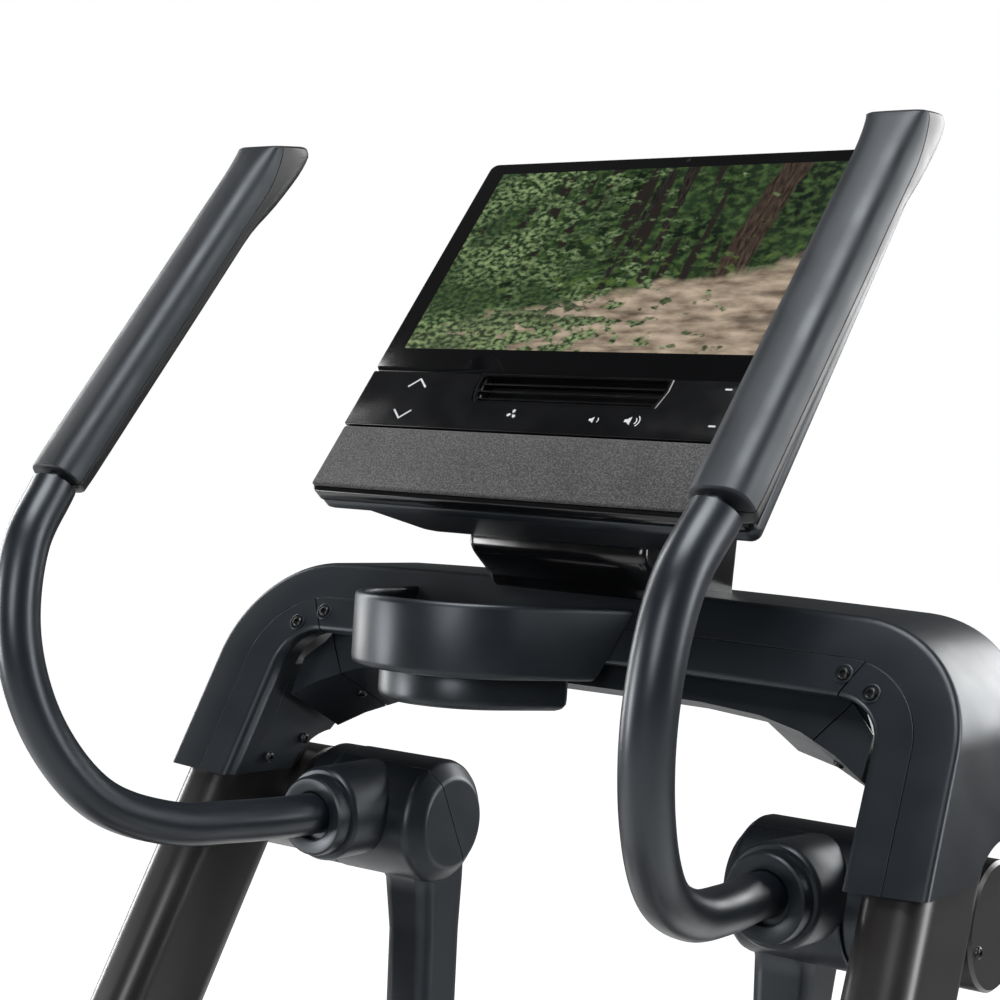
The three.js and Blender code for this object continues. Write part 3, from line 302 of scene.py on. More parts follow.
def softened(thing, width=0.8, segments=3, angle=35.0):
    """Rounds a piece's edges and evens out its shading."""
    modified(thing, "WELD", merge_threshold=0.00001)
    modified(thing, "BEVEL", limit_method="ANGLE", angle_limit=math.radians(angle), width=width * MM,
             segments=segments, harden_normals=False)
    thing.data.polygons.foreach_set("use_smooth", [True] * len(thing.data.polygons))
    modified(thing, "WEIGHTED_NORMAL", keep_sharp=True)
    return thing


def subdivided(rows, parts):
    """Rows of numbers with evenly spaced ones put in between, so many to each gap."""
    knots = [Vector(row) for row in rows]
    filled = []
    for a, b, count in zip(knots, knots[1:], parts):
        filled += [a.lerp(b, i / count) for i in range(count)]
    return filled + knots[-1:]


# ---------------- materials
def feed(socket, value):
    """Sets a socket to a constant, or links it to another node's output."""
    if isinstance(value, bpy.types.NodeSocket):
        socket.id_data.links.new(value, socket)
    else:
        socket.default_value = value


def add(tree, kind, sockets=None, **values):
    """A new node with its settings, and its sockets set or linked by name."""
    node = assign(tree.nodes.new("ShaderNode" + kind), **values)
    for key, value in (sockets or {}).items():
        feed(node.inputs[key], value)
    return node


def surfaced(material, **sockets):
    """Sets or links sockets of the material's shader, named with _ for each space."""
    shader = material.node_tree.nodes["Principled BSDF"]
    for key, value in sockets.items():
        feed(shader.inputs[key.replace("_", " ")], value)
    return material


def new_material(name, colour, roughness, **settings):
    material = bpy.data.materials.new(name)
    material.use_nodes = True
    return surfaced(material, Base_Color=(*colour, 1.0), Roughness=roughness, **settings)


def object_space(tree):
    return add(tree, "TexCoord").outputs["Object"]


def calculated(operation, *values):
    """The result of a math node on other nodes' outputs and numbers, an output first."""
    return add(values[0].id_data, "Math", dict(enumerate(values)), operation=operation).outputs["Value"]


def noise(tree, scale, detail=2.0):
    sockets = {"Scale": scale, "Detail": detail, "Vector": object_space(tree)}
    return add(tree, "TexNoise", sockets).outputs["Fac"]


def waves(tree, scale, direction, distortion=0.0):
    sockets = {"Scale": scale, "Distortion": distortion, "Vector": object_space(tree)}
    return add(tree, "TexWave", sockets, bands_direction=direction).outputs["Fac"]


def remap(source, low, high, start=0.3, end=0.7):
    sockets = {"Value": source, "From Min": start, "From Max": end, "To Min": low, "To Max": high}
    return add(source.id_data, "MapRange", sockets).outputs["Result"]


def blended(factor, first, second):
    """A mix of two colours, each given as numbers or as another node's output."""
    node = add(factor.id_data, "Mix", {"Factor": factor}, data_type="RGBA")
    colours = [socket for socket in node.inputs if socket.type == "RGBA"]
    for socket, value in zip(colours, (first, second)):
        feed(socket, (*value, 1.0) if isinstance(value, tuple) else value)
    return next(socket for socket in node.outputs if socket.type == "RGBA")


def bumped(height, strength, depth, below=None):
    """A bumped normal from a height, with a depth in millimetres, on top of another one."""
    sockets = {"Strength": strength, "Distance": depth * MM, "Height": height}
    if below is not None:
        sockets["Normal"] = below
    return add(height.id_data, "Bump", sockets).outputs["Normal"]


def shade(colour, amount):
    return tuple(c * amount for c in colour)


def finished(name, colour, roughness, grain, depth, vary=0.12, spread=0.06, **settings):
    """A surface with uneven colour, uneven gloss and a fine grain of its own size."""
    material = new_material(name, colour, roughness, **settings)
    tree = material.node_tree
    cloud = remap(noise(tree, 9.0, 4.0), 0.0, 1.0)
    wear = noise(tree, 40.0, 6.0)
    return surfaced(
        material,
        Base_Color=blended(cloud, shade(colour, 1 - vary), shade(colour, 1 + vary)),
        Roughness=remap(wear, roughness - spread, roughness + spread),
        Normal=bumped(noise(tree, grain, 3.0), 0.5, depth))


COOL_SHEEN = (0.86, 0.93, 1.0, 1.0)
COVER = finished("cover_plastic", (0.0062, 0.0078, 0.0102), 0.37, 1600.0, 0.02, spread=0.03,
                 Specular_Tint=COOL_SHEEN)
TUBE = finished("tube_paint", (0.0050, 0.0066, 0.0095), 0.35, 500.0, 0.012, spread=0.03,
                Coat_Weight=0.15, Coat_Roughness=0.3, Specular_Tint=COOL_SHEEN)
FRAME_PAINT = finished("frame_paint", (0.0100, 0.0088, 0.0085), 0.36, 420.0, 0.006, vary=0.06, spread=0.02,
                       Coat_Weight=0.3, Coat_Roughness=0.22)
GLOSS = finished("gloss_black", (0.0022, 0.0024, 0.0029), 0.19, 900.0, 0.002, spread=0.05)
GLASS = finished("display_glass", (0.0012, 0.0013, 0.0016), 0.08, 300.0, 0.0005, spread=0.02)
RUBBER = finished("grip_rubber", (0.0085, 0.0096, 0.0115), 0.47, 2600.0, 0.05, Specular_Tint=COOL_SHEEN)
RUBBER_DARK = finished("grip_trim", (0.0050, 0.0055, 0.0068), 0.42, 2600.0, 0.05)
SCREW = finished("screw_steel", (0.035, 0.036, 0.038), 0.32, 900.0, 0.02, Metallic=0.9)
STEEL = finished("machined_steel", (0.42, 0.43, 0.44), 0.28, 700.0, 0.02, Metallic=1.0)
SYMBOL = finished("symbol_print", (0.42, 0.43, 0.44), 0.5, 900.0, 0.001)


def speaker_cloth():
    """Woven cloth of mixed dark and light yarns."""
    material = new_material(
        "speaker_fabric", (0.03, 0.03, 0.03), 0.92, Sheen_Weight=0.15, Sheen_Roughness=0.5)
    tree = material.node_tree
    speck = noise(tree, 900.0, 3.0)
    patch = remap(noise(tree, 22.0, 3.0), 0.0, 1.0)
    yarn = remap(speck, 0.0, 1.0, 0.42, 0.62)
    dark = blended(patch, (0.006, 0.006, 0.0065), (0.012, 0.012, 0.0125))
    light = blended(patch, (0.050, 0.049, 0.051), (0.070, 0.068, 0.071))
    weave = None
    for direction, scale in (("X", 420.0), ("Z", 520.0)):
        weave = bumped(waves(tree, scale, direction, 1.5), 0.5, 0.12, weave)
    return surfaced(
        material, Base_Color=blended(yarn, dark, light),
        Normal=bumped(speck, 0.6, 0.15, weave))


def turned_iron():
    """Cast iron with fine rings from the lathe, about the flywheel's axle."""
    material = new_material("turned_iron", (0.10, 0.105, 0.11), 0.42, Metallic=0.85)
    tree = material.node_tree
    shift = add(tree, "Mapping", {
        "Location": (0.0, -0.5, -0.72), "Vector": object_space(tree)})
    rings = add(tree, "TexWave", {"Scale": 300.0, "Vector": shift.outputs["Vector"]},
                wave_type="RINGS", rings_direction="X")
    return surfaced(
        material, Normal=bumped(rings.outputs["Fac"], 0.4, 0.05),
        Roughness=remap(noise(tree, 60.0, 5.0), 0.34, 0.52))


def ribbed_belt():
    material = new_material("drive_belt", (0.012, 0.012, 0.013), 0.6)
    tree = material.node_tree
    return surfaced(
        material, Normal=bumped(waves(tree, 160.0, "X"), 0.8, 0.6),
        Roughness=remap(noise(tree, 50.0, 4.0), 0.5, 0.7))


def tread_rubber():
    material = new_material("tread", (0.014, 0.014, 0.015), 0.66)
    tree = material.node_tree
    cells = add(tree, "TexVoronoi", {"Scale": 420.0, "Vector": object_space(tree)})
    pimples = bumped(cells.outputs["Distance"], 0.5, 0.25)
    dust = remap(noise(tree, 14.0, 6.0), 0.0, 1.0)
    return surfaced(
        material, Base_Color=blended(dust, (0.012, 0.012, 0.013), (0.020, 0.020, 0.020)),
        Normal=bumped(noise(tree, 1500.0), 0.5, 0.06, pimples))


SLOT_MATERIALS = {
    "frame_paint": FRAME_PAINT, "tube_paint": TUBE, "cover_plastic": COVER, "gloss_black": GLOSS,
    "display": GLASS, "speaker_fabric": speaker_cloth(), "grip_rubber": RUBBER, "grip_trim": RUBBER_DARK,
    "steel": STEEL, "iron": turned_iron(), "belt": ribbed_belt(), "tread": tread_rubber(),
}


def dressed(thing, body, slot, *nodes, material=None):
    """Gives a built piece its material (the slot's, unless one is given), puts it under its body and hides
    the CAD nodes it stands for.
    """
    thing.data.materials.clear()
    thing.data.materials.append(material or SLOT_MATERIALS[slot])
    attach(thing, body)
    if nodes:
        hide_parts(*nodes)
    return thing


# ---------------- console
CONSOLE_CENTRE = point(0, 55, 1680)
CONSOLE_TILT = math.radians(37.4)
CONSOLE_UP = point(0, math.sin(CONSOLE_TILT), math.cos(CONSOLE_TILT))
CONSOLE_OUT = point(0, -math.cos(CONSOLE_TILT), math.sin(CONSOLE_TILT))
CONSOLE_HALF = 170.5
CONSOLE_TOP = 98
GLASS_BOTTOM = -109
DECK_BOTTOM = -158
CONSOLE_BOTTOM = -215
SCREEN_HALF = (155, 87)
VENT_MIDDLE = -121
VENT_OUTLINE = [
    (-72.7, -134.5, 3), (72.7, -134.5, 3), (77, -119, 6), (77, -107.5, 2), (-77, -107.5, 2), (-77, -119, 6)]
# Rows of (inset, out) for the console's slabs.
FRAME_LAYERS = [(1.0, -14.0), (0.0, -13.0), (0.0, -4.3), (0.4, -3.6), (1.2, -3.3)]
BACK_LAYERS = [(1.0, -14.3), (0.5, -15.2), (0.5, -21.5), (2.5, -25.0), (7.0, -28.0)]
GLASS_LAYERS = [(0.6, -3.0), (0.0, -2.6), (0.0, -0.5), (0.15, -0.15), (0.5, 0.0)]
CLOTH_LAYERS = [(1.4, -3.0), (0.8, -2.6), (0.8, -1.2), (1.4, -0.6), (2.4, -0.3)]
# Rows of the bulge on the back: inset at the sides, at the bottom and at the top, and out.
BULGE_ROWS = [(0, 6, 0, -26), (0, 6, 0, -29), (4, 7, 2, -33), (33, 11, 19, -54), (38, 13, 22, -58)]
BULGE_HALF = 150
BULGE_TOP = 10
# Rows of the vent's rim: part of the outline's width, part of its height, and out.
RIM_ROWS = [
    (0.995, 0.97, -3.1), (0.995, 0.97, -0.9), (0.985, 0.93, -0.5), (0.955, 0.82, -0.7), (0.95, 0.80, -3.1)]
LOUVRE_HEIGHTS = (-128.0, -121.5, -115.0)
LOUVRE_HALF = 72.5
LOUVRE_LEAN = math.radians(38)


def on_console(x, up, out):
    place = CONSOLE_CENTRE + CONSOLE_UP * up + CONSOLE_OUT * out
    return point(x, place.y, place.z)


def across_console(up, out, x):
    return on_console(x, up, out)


def console_layers(name, bottom, top, radius, layers):
    """A slab on the console from rows of (inset, out)."""
    rows = []
    for inset, out in layers:
        corner = radius - min(inset, radius - 0.5)
        width, height = 2 * (CONSOLE_HALF - inset), top - bottom - 2 * inset
        rows.append((rounded_rect(width, height, corner, v=(top + bottom) / 2), out))
    return stack(name, rows, on_console)


def scaled_outline(outline, across, along):
    return [(u * across, VENT_MIDDLE + (v - VENT_MIDDLE) * along) for u, v in outline]


def build_console():
    vent = filleted(VENT_OUTLINE)
    middle = console_layers("console_edge_frame", CONSOLE_BOTTOM, CONSOLE_TOP, 7, FRAME_LAYERS)
    cut(middle, prism("tool", scaled_outline(vent, 0.93, 0.78), on_console, -12.5, 5))
    dressed(smoothed(middle, 50), "frame", "gloss_black", "console_mid_frame")

    slab = console_layers("console_back_slab", CONSOLE_BOTTOM, CONSOLE_TOP, 8, BACK_LAYERS)
    rows = []
    for side, low, top, out in BULGE_ROWS:
        start, end = CONSOLE_BOTTOM + low, BULGE_TOP - top
        rows.append((rounded_rect(2 * (BULGE_HALF - side), end - start, 14, v=(start + end) / 2), out))
    join(slab, stack("console_back_bulge", rows, on_console))
    for x in range(-60, 61, 10):
        cut(slab, prism("tool", rounded_rect(3, 46, 1.4, 4, x, -70), on_console, -70, -50))
    dressed(smoothed(slab, 32), "frame", "gloss_black", "console_back_shell", material=COVER)

    glass = console_layers("screen_glass", GLASS_BOTTOM + GAP, CONSOLE_TOP, 6, GLASS_LAYERS)
    dressed(smoothed(glass, 50), "frame", "display", "display_glass")

    deck = console_layers("control_panel", DECK_BOTTOM + GAP, GLASS_BOTTOM, 1.2, GLASS_LAYERS)
    cut(deck, prism("tool", vent, on_console, -5, 5))
    dressed(smoothed(deck, 50), "frame", "gloss_black", "control_deck")

    cloth = console_layers("speaker_cloth", CONSOLE_BOTTOM + 3, DECK_BOTTOM - 0.2, 3, CLOTH_LAYERS)
    dressed(smoothed(cloth, 50), "frame", "speaker_fabric", "speaker_panel")

    eye = prism("camera_eye", circle(1.6, 24, 2.5, 94), on_console, -0.4, 0.15)
    dressed(smoothed(eye, 50), "frame", "display", material=SCREW)
    button = prism("side_button", rounded_rect(7, 3.2, 1.5, 5, -112, -9), across_console, 170, 171.3)
    dressed(softened(button, 0.4), "frame", "gloss_black", material=COVER)
    build_vent(vent)


def build_vent(vent):
    rows = [(scaled_outline(vent, across, along), out) for across, along, out in RIM_ROWS]
    rim = stack("vent_rim", rows, on_console, loop=True)
    dressed(smoothed(rim, 50), "frame", "gloss_black", "vent_grille")
    turn = Matrix.Rotation(LOUVRE_LEAN, 2)
    blade = [turn @ Vector(spot) for spot in rounded_rect(1.4, 5.6, 0.6, 4)]
    for i, up in enumerate(LOUVRE_HEIGHTS):
        outline = [(up + spot.x, spot.y - 3.6) for spot in blade]
        louvre = prism(f"vent_louvre_{i + 1}", outline, across_console, -LOUVRE_HALF, LOUVRE_HALF)
        dressed(smoothed(louvre, 50), "frame", "gloss_black")
    outline = [(-71, -131), (71, -131), (72, -111), (-72, -111)]
    floor = prism("vent_floor", outline, on_console, -13.2, -12.0)
    dressed(floor, "frame", "gloss_black", material=RUBBER_DARK)


PRINT = (-0.2, 0.12)             # printed signs reach from just under the face to just above it
SPEAKER_SIGN = [(-2.2, -0.9), (-0.9, -0.9), (1.2, -2.6), (1.2, 2.6), (-0.9, 0.9), (-2.2, 0.9)]
FAN_SIGN = (-34, -143)
FAN_PETAL = ((0.6, -0.3), (2.2, -1.7), (3.7, -1.5), (4.1, 0.0), (2.6, 0.9))


def stroke(name, points, width):
    """A printed line of even width along points on the console's face."""
    left, right = [], []
    for i, spot in enumerate(points):
        here = Vector(spot)
        before = (here - Vector(points[i - 1])).normalized() if i > 0 else None
        after = (Vector(points[i + 1]) - here).normalized() if i < len(points) - 1 else None
        run = ((before or after) + (after or before)).normalized()
        side = Vector((-run.y, run.x))
        reach = width / 2 / max(side.dot(Vector((-(after or before).y, (after or before).x))), 0.3)
        left.append(here + side * reach)
        right.append(here - side * reach)
    return prism(name, [(p.x, p.y) for p in left + right[::-1]], on_console, *PRINT)


def arc(u, v, radius, start, end, steps=10):
    angles = [math.radians(start + (end - start) * i / steps) for i in range(steps + 1)]
    return [(u + radius * math.cos(a), v + radius * math.sin(a)) for a in angles]


def build_symbols():
    """Generic signs: up, down, fan, quieter, louder, and two short dashes."""
    marks = [
        stroke("sign_up", [(-132.5, -122.6), (-125, -115.4), (-117.5, -122.6)], 1.3),
        stroke("sign_down", [(-133.5, -143.4), (-126, -150.6), (-118.5, -143.4)], 1.3),
        stroke("sign_step_up", [(116.5, -116), (121.5, -116)], 1.3),
        stroke("sign_step_down", [(116.5, -146), (121.5, -146)], 1.3),
        stroke("sign_quiet_wave", arc(32.6, -145, 2.3, -50, 50), 0.7),
        stroke("sign_loud_wave", arc(60.6, -144.5, 3.0, -52, 52), 0.8),
        stroke("sign_loud_wave_wide", arc(60.6, -144.5, 5.2, -50, 50), 0.8),
    ]
    for name, u, v, size in (("sign_quiet", 30, -145, 1.0), ("sign_loud", 57.5, -144.5, 1.35)):
        outline = [(u + a * size, v + b * size) for a, b in SPEAKER_SIGN]
        marks.append(prism(name, outline, on_console, *PRINT))
    for i in range(3):
        turn = Matrix.Rotation(math.radians(90 + i * 120), 2)
        petal = [Vector(FAN_SIGN) + turn @ Vector(spot) for spot in FAN_PETAL]
        marks.append(prism(f"sign_fan_{i + 1}", [(p.x, p.y) for p in petal], on_console, *PRINT))
    for mark in marks:
        dressed(mark, "frame", "gloss_black", material=SYMBOL)


# ---------------- arch
SIDES = ((1, "right"), (-1, "left"))
ARCH_LEAN = math.radians(26.1)
ARCH_FACE = point(0, -4, 1429)
ARCH_DOWN = point(0, -math.sin(ARCH_LEAN), -math.cos(ARCH_LEAN))
ARCH_BACK = point(0, math.cos(ARCH_LEAN), -math.sin(ARCH_LEAN))
CORNER_RADIUS = 56
ARCH_HALF_WIDTH = 259
SPLAY = 0.05
ARCH_DEPTH = 96
OUTER_BAND = 28
INNER_BAND = 28
CROWN = 3
CROWN_LEAN = 0.03
COVER_END = 141
UPRIGHT_TOP = 60
UPRIGHT_END = 1532
FLOOR_CUT = 90.3                 # height at which the uprights end on the base
HUB_Y = 47
HUB_Z = 1273.5
HUB_RADIUS = 44.5
RIGHT_PHASE = math.radians(-1.361)
LEFT_PHASE = math.radians(1.296)
WEB_FRONT = 20
WEB_BACK = 31
GUSSET_BACK = 81
GUSSET_STEP = 0.3                # the gusset's underside sits this far inside the web's edge
HUB_AIR = 9
COVER_SCREWS = ((206, 10.3), (227, 20.8))        # x and down, on the arch's front face
GUSSET_SCREW = (192, 49.9, 54)                   # x, down and back
GUSSET_SCREW_SPLAY = 0.44
PLATE_SCREWS = ((11, 1323), (-26, 1312))         # y and z, on the face of the side plate
PLATE_FACE = 234.4
RECESS_SCREW = (291.2, 19, 1262)
# Rows of (part of the radius, height) for a screw's head and for the dished ring round it.
HEAD_ROWS = [(1.0, -1.0), (1.0, 0.3), (0.9, 1.3), (0.7, 1.9), (0.62, 2.0)]
SEAT_ROWS = [(1.0, -0.4), (1.0, 0.35), (0.95, 0.5), (0.83, 0.5), (0.78, -0.4)]
SEAT_RADIUS = 6.2


def on_arch(x, down, back):
    place = ARCH_FACE + ARCH_DOWN * down + ARCH_BACK * back
    return point(x, place.y, place.z)


def on_arch_level(x, down, back):
    place = ARCH_FACE + ARCH_DOWN * down
    return point(x, place.y + back / math.cos(ARCH_LEAN), place.z)


def arch_path(down_end, corner_steps=28, crown_steps=8):
    """Rows of x, down and outward direction from the left foot to the right foot."""
    turn = math.pi / 2 - math.atan(SPLAY)
    corner_x = ARCH_HALF_WIDTH - CORNER_RADIUS * math.tan(turn / 2)
    right = []
    for i in range(1, crown_steps):
        part = i / crown_steps
        right.append((corner_x * part, -CROWN * (1 - part * part), CROWN_LEAN * part, -1.0))
    for i in range(corner_steps + 1):
        angle = turn * i / corner_steps
        right.append((
            corner_x + CORNER_RADIUS * math.sin(angle), CORNER_RADIUS * (1 - math.cos(angle)),
            math.sin(angle), -math.cos(angle)))
    foot = right[-1]
    right.append((foot[0] + SPLAY * (down_end - foot[1]), down_end, foot[2], foot[3]))
    left = [(-x, down, -across, along) for x, down, across, along in reversed(right)]
    return [*left, (0.0, -CROWN, 0.0, -1.0), *right]


def along_arch(name, section, path):
    return loft(name, [
        [on_arch_level(x + across * outward, down + along * outward, back) for outward, back in section]
        for x, down, across, along in path])


def along_upright(name, section, start, end, steps=1):
    lean = math.atan(SPLAY)
    rings = []
    for i in range(steps + 1):
        down = start + (end - start) * i / steps
        seam = ARCH_HALF_WIDTH + SPLAY * down
        rings.append([
            on_arch_level(seam + out * math.cos(lean), down - out * math.sin(lean), back)
            for out, back in section])
    return loft(name, rings)


def stacked(name, place, axis, rows, sides, loop=False):
    """A skin through circles on an axis, from rows of (radius, height)."""
    axis = axis.normalized()
    side = axis.orthogonal().normalized()
    rise = axis.cross(side)
    return loft(name, [
        [place + side * u + rise * v + axis * height for u, v in circle(radius, sides)]
        for radius, height in rows], loop)


def screw(name, place, axis, radius):
    """A button-head screw with a six-sided socket, its head standing on a face."""
    head = stacked(name, place, axis, [(radius * part, height) for part, height in HEAD_ROWS], 36)
    cut(head, stacked("tool", place, axis, [(radius * 0.45, 0.5), (radius * 0.45, 4.0)], 6))
    dressed(smoothed(head, 40), "frame", "cover_plastic", material=SCREW)


def washer_seat(name, place, axis):
    """The dished ring round a screw."""
    rows = [(SEAT_RADIUS * part, height) for part, height in SEAT_ROWS]
    dressed(smoothed(stacked(name, place, axis, rows, 40, loop=True), 50), "frame", "cover_plastic")


def hub_clearance():
    return rod("tool", -330, 330, HUB_Y, HUB_Z, HUB_RADIUS + HUB_AIR, 96)


def build_arch():
    inside = OUTER_BAND - WALL
    band = filleted([
        (GAP / 2, 0, 0.5), (OUTER_BAND, 0, 4), (OUTER_BAND, ARCH_DEPTH, 11), (GAP / 2, ARCH_DEPTH, 0.5),
        (GAP / 2, ARCH_DEPTH - WALL, 0), (inside, ARCH_DEPTH - WALL, 9), (inside, WALL, 3),
        (GAP / 2, WALL, 0)])
    outer = along_arch("arch_outer_shell", band, arch_path(COVER_END))
    cut(outer, hub_clearance())
    dressed(smoothed(outer, 38), "frame", "cover_plastic", "arch_outer_cover")

    section = rounded_rect(20, 76, 8, 6, 13, ARCH_DEPTH / 2)
    bar = along_arch("crossbar_steel", section, arch_path(UPRIGHT_TOP - GAP))
    dressed(smoothed(bar), "frame", "frame_paint", "crossbar_tube")
    build_lower_covers()
    for side, word in SIDES:
        for i, (x, down) in enumerate(COVER_SCREWS):
            seat = on_arch(side * x, down, 0.3)
            screw(f"cover_screw_{word}_{i + 1}", seat + ARCH_BACK * 0.3, -ARCH_BACK, 4.2)
            washer_seat(f"cover_screw_seat_{word}_{i + 1}", seat, -ARCH_BACK)


WEB_EDGE = [(0, 33), (60, 33), (105, 33.5), (148, 37), (178, 44), (205, 56), (226, 69)]
WEB_TOP = [(226, 40), (190, 3), (-190, 3), (-226, 40)]
GUSSET_START = 140
GUSSET_TOP = [(225, 40), (204, 4), (149, 4)]
SEAM_LINE = [(219.5, -1), (204, 26), (191, 44), (176, 66), (170, 300)]
SEAM = 1.2                       # width of the dark line between the lower cover and the corner covers


def seam_wedge(side, shift):
    outline = [(side * (x + shift), down) for x, down in SEAM_LINE] + [(side * 420, 300), (side * 420, -1)]
    return prism("tool", outline, on_arch, -8, ARCH_DEPTH + 20)


def build_lower_covers():
    inner = -INNER_BAND
    band = filleted([
        (-GAP / 2, 0, 0.5), (inner + 3, 1.0, 9), (inner, 9, 8), (inner, WEB_FRONT + 2, 0),
        (inner + WALL, WEB_FRONT + 2, 0), (inner + WALL, 11, 5), (inner + 8, WALL + 1.2, 6),
        (-GAP / 2, WALL, 0)], 6)
    covers = along_arch("arch_lower_shell", band, arch_path(COVER_END))
    web = [(-x, down) for x, down in reversed(WEB_EDGE)] + WEB_EDGE[1:] + WEB_TOP
    gusset = [(x, down - GUSSET_STEP) for x, down in WEB_EDGE if x > GUSSET_START] + GUSSET_TOP
    others = [prism("tool", web, on_arch, WEB_FRONT, WEB_BACK)]
    for side, _ in SIDES:
        outline = [(side * x, down) for x, down in gusset]
        others.append(prism("tool", outline, on_arch, WEB_FRONT + 4, GUSSET_BACK))
    join(covers, *others)
    cut(covers, hub_clearance())
    for side, word in SIDES:
        corner = copied(covers, f"arch_corner_shell_{word}")
        combine(corner, seam_wedge(side, SEAM / 2), "INTERSECT")
        softened(corner, 0.7, 2, 48)
        dressed(corner, "frame", "cover_plastic", f"arch_corner_cover_{word}")
    cut(covers, seam_wedge(1, -SEAM / 2), seam_wedge(-1, -SEAM / 2))
    dressed(softened(covers, 0.7, 2, 48), "frame", "cover_plastic", "arch_lower_cover")
    for side, word in SIDES:
        x, down, back = GUSSET_SCREW
        axis = ARCH_DOWN - point(side * GUSSET_SCREW_SPLAY, 0, 0)
        screw(f"gusset_screw_{word}", on_arch(side * x, down, back), axis, 4.0)


# The far lower corner of each side plate, in (y, z), is cut away to leave the hub free.
PLATE_CORNER = [(35, 1200), (35, 1320), (52, 1335), (150, 1335), (150, 1200)]
PLATE_WALL = 3.2
BOSS_ROWS = [(236, 37.5), (237.5, 40), (289, 40), (291, 38)]


def build_uprights():
    start, inside = WEB_FRONT + 2.3, PLATE_WALL - INNER_BAND
    plate = filleted([
        (-INNER_BAND, start, 0), (-INNER_BAND, ARCH_DEPTH, 4), (-GAP / 2, ARCH_DEPTH, 0.5),
        (-GAP / 2, ARCH_DEPTH - WALL, 0), (inside, ARCH_DEPTH - WALL, 2), (inside, start, 0)])
    side_plate = along_upright("upright_plate", plate, UPRIGHT_TOP - 5, COVER_END)
    cut(side_plate, hub_clearance(), prism("tool", PLATE_CORNER, along_x, 200, 300))
    for piece, word in paired(side_plate, "upright_plate"):
        softened(piece, 0.6, 2, 48)
        dressed(piece, "frame", "cover_plastic", f"upright_inner_cover_{word}")
    for side, word in SIDES:
        for i, (y, z) in enumerate(PLATE_SCREWS):
            screw(f"plate_screw_{word}_{i + 1}", point(side * PLATE_FACE, y, z), point(-side, 0, 0), 3.8)
        x, y, z = RECESS_SCREW
        screw(f"recess_screw_{word}", point(side * x, y, z), point(side, 0, 0), 4.0)

    section = rounded_rect(44, 84, 18, 10, 1.5, ARCH_DEPTH / 2)
    tube = along_upright("upright_tube", section, UPRIGHT_TOP, UPRIGHT_END, 8)
    sliced(tube, point(0, 0, FLOOR_CUT), point(0, 0, -1))
    join(tube, turned("tool", BOSS_ROWS, HUB_Y, HUB_Z, 72))
    for piece, word in paired(tube, "upright_tube"):
        dressed(smoothed(piece, 35), "frame", "frame_paint", f"upright_{word}")


# ---------------- swinging arms
HANDLE_KNOTS = [
    point(179, -19, 1283), point(179, -53, 1283), point(190, -108, 1284), point(199, -163, 1289),
    point(210, -215, 1310), point(221, -253, 1357), point(229, -269, 1414), point(234, -261, 1471),
    point(238.5, -236, 1508.5)]
CORE_KNOTS = [point(237.5, -241, 1502), point(238.6, -196, 1559), point(237, -109, 1669)]
HANDLE_RADIUS = 14.5
CORE_RADIUS = 9.5
GRIP_HALF_WIDTH = 19
GRIP_BOTTOM_X = 239.5
GRIP_TOP_X = 236.5
GRIP_GAP = 0.25
# User-side edge and far-side edge of the grip in (y, z), from its lower lip to its nose, and where it parts.
GRIP_ROWS = [
    (-244.6, 1521.2, -221.4, 1502.8, 0.62), (-195, 1584, -171.8, 1565.6, 0.62),
    (-148.4, 1642.6, -125.2, 1624.2, 0.62), (-101.9, 1701.5, -78.7, 1683.1, 0.60),
    (-82, 1726.6, -53.7, 1703.7, 0.50), (-73, 1738, -28, 1730, 0.32),
    (-69, 1743, -18, 1745, 0.24), (-66, 1746, -22, 1751, 0.18)]
GRIP_PARTS = (12, 12, 12, 6, 6, 6, 6)
GRIP_END_DRAW = (2.6, 1.2, 0.35)
NOSE_RUN = Vector((0, 1, 0, 1, 0))
# Rows of (x, radius) for the hub and the fixed collar outside it, and of (y, radius) for the handle's cup.
HUB_ROWS = [
    (120, 30), (120.6, 32.6), (122, 34.2), (128, 41.6), (130.5, 43.6), (133.5, 44.5), (207, 44.5),
    (208, 43.6)]
COLLAR_ROWS = [
    (208.6, 40), (209, 42.4), (211, 44), (226.5, 44), (228, 42.6), (230, 30), (236, 26), (236, 14)]
CUP_ROWS = [
    (HUB_Y - 10, 33), (-27, 33), (-29.5, 32.4), (-31, 31), (-31.2, 28.6), (-33, 28.4), (-38, 28),
    (-41, 27.4), (-42, 26), (-42, 18.5), (-41, 17), (-36, 16)]
HANDLE_CUP_X = 179
HANDLE_CUP_Z = 1281
HUB_SEAM = math.radians(117)
HALF_SEAM = 0.35
BORE_RADIUS = 14.5
AXLE_RADIUS = 14
PHASES = {"right": RIGHT_PHASE, "left": LEFT_PHASE}


def grip_stations():
    """Rows along the grip: user edge, far edge, parting and how far the section is drawn in."""
    rows = subdivided(GRIP_ROWS, GRIP_PARTS)
    eased = []
    last = len(rows) - 1
    for i, row in enumerate(rows):
        near, far = rows[max(i - 2, 0)], rows[min(i + 2, last)]
        eased.append(row if i in (0, last) else (near + row * 2 + far) / 4)
    start = eased[0]
    run = (eased[1] - start).normalized()
    stations = [(start + run * (step * 0.9), draw) for step, draw in enumerate(GRIP_END_DRAW)]
    stations += [(row, 0.0) for row in eased[2:-1]]
    for step, draw in enumerate(reversed(GRIP_END_DRAW)):
        stations.append((eased[-1] + NOSE_RUN * (step * 0.5 - 0.5), draw))
    return stations


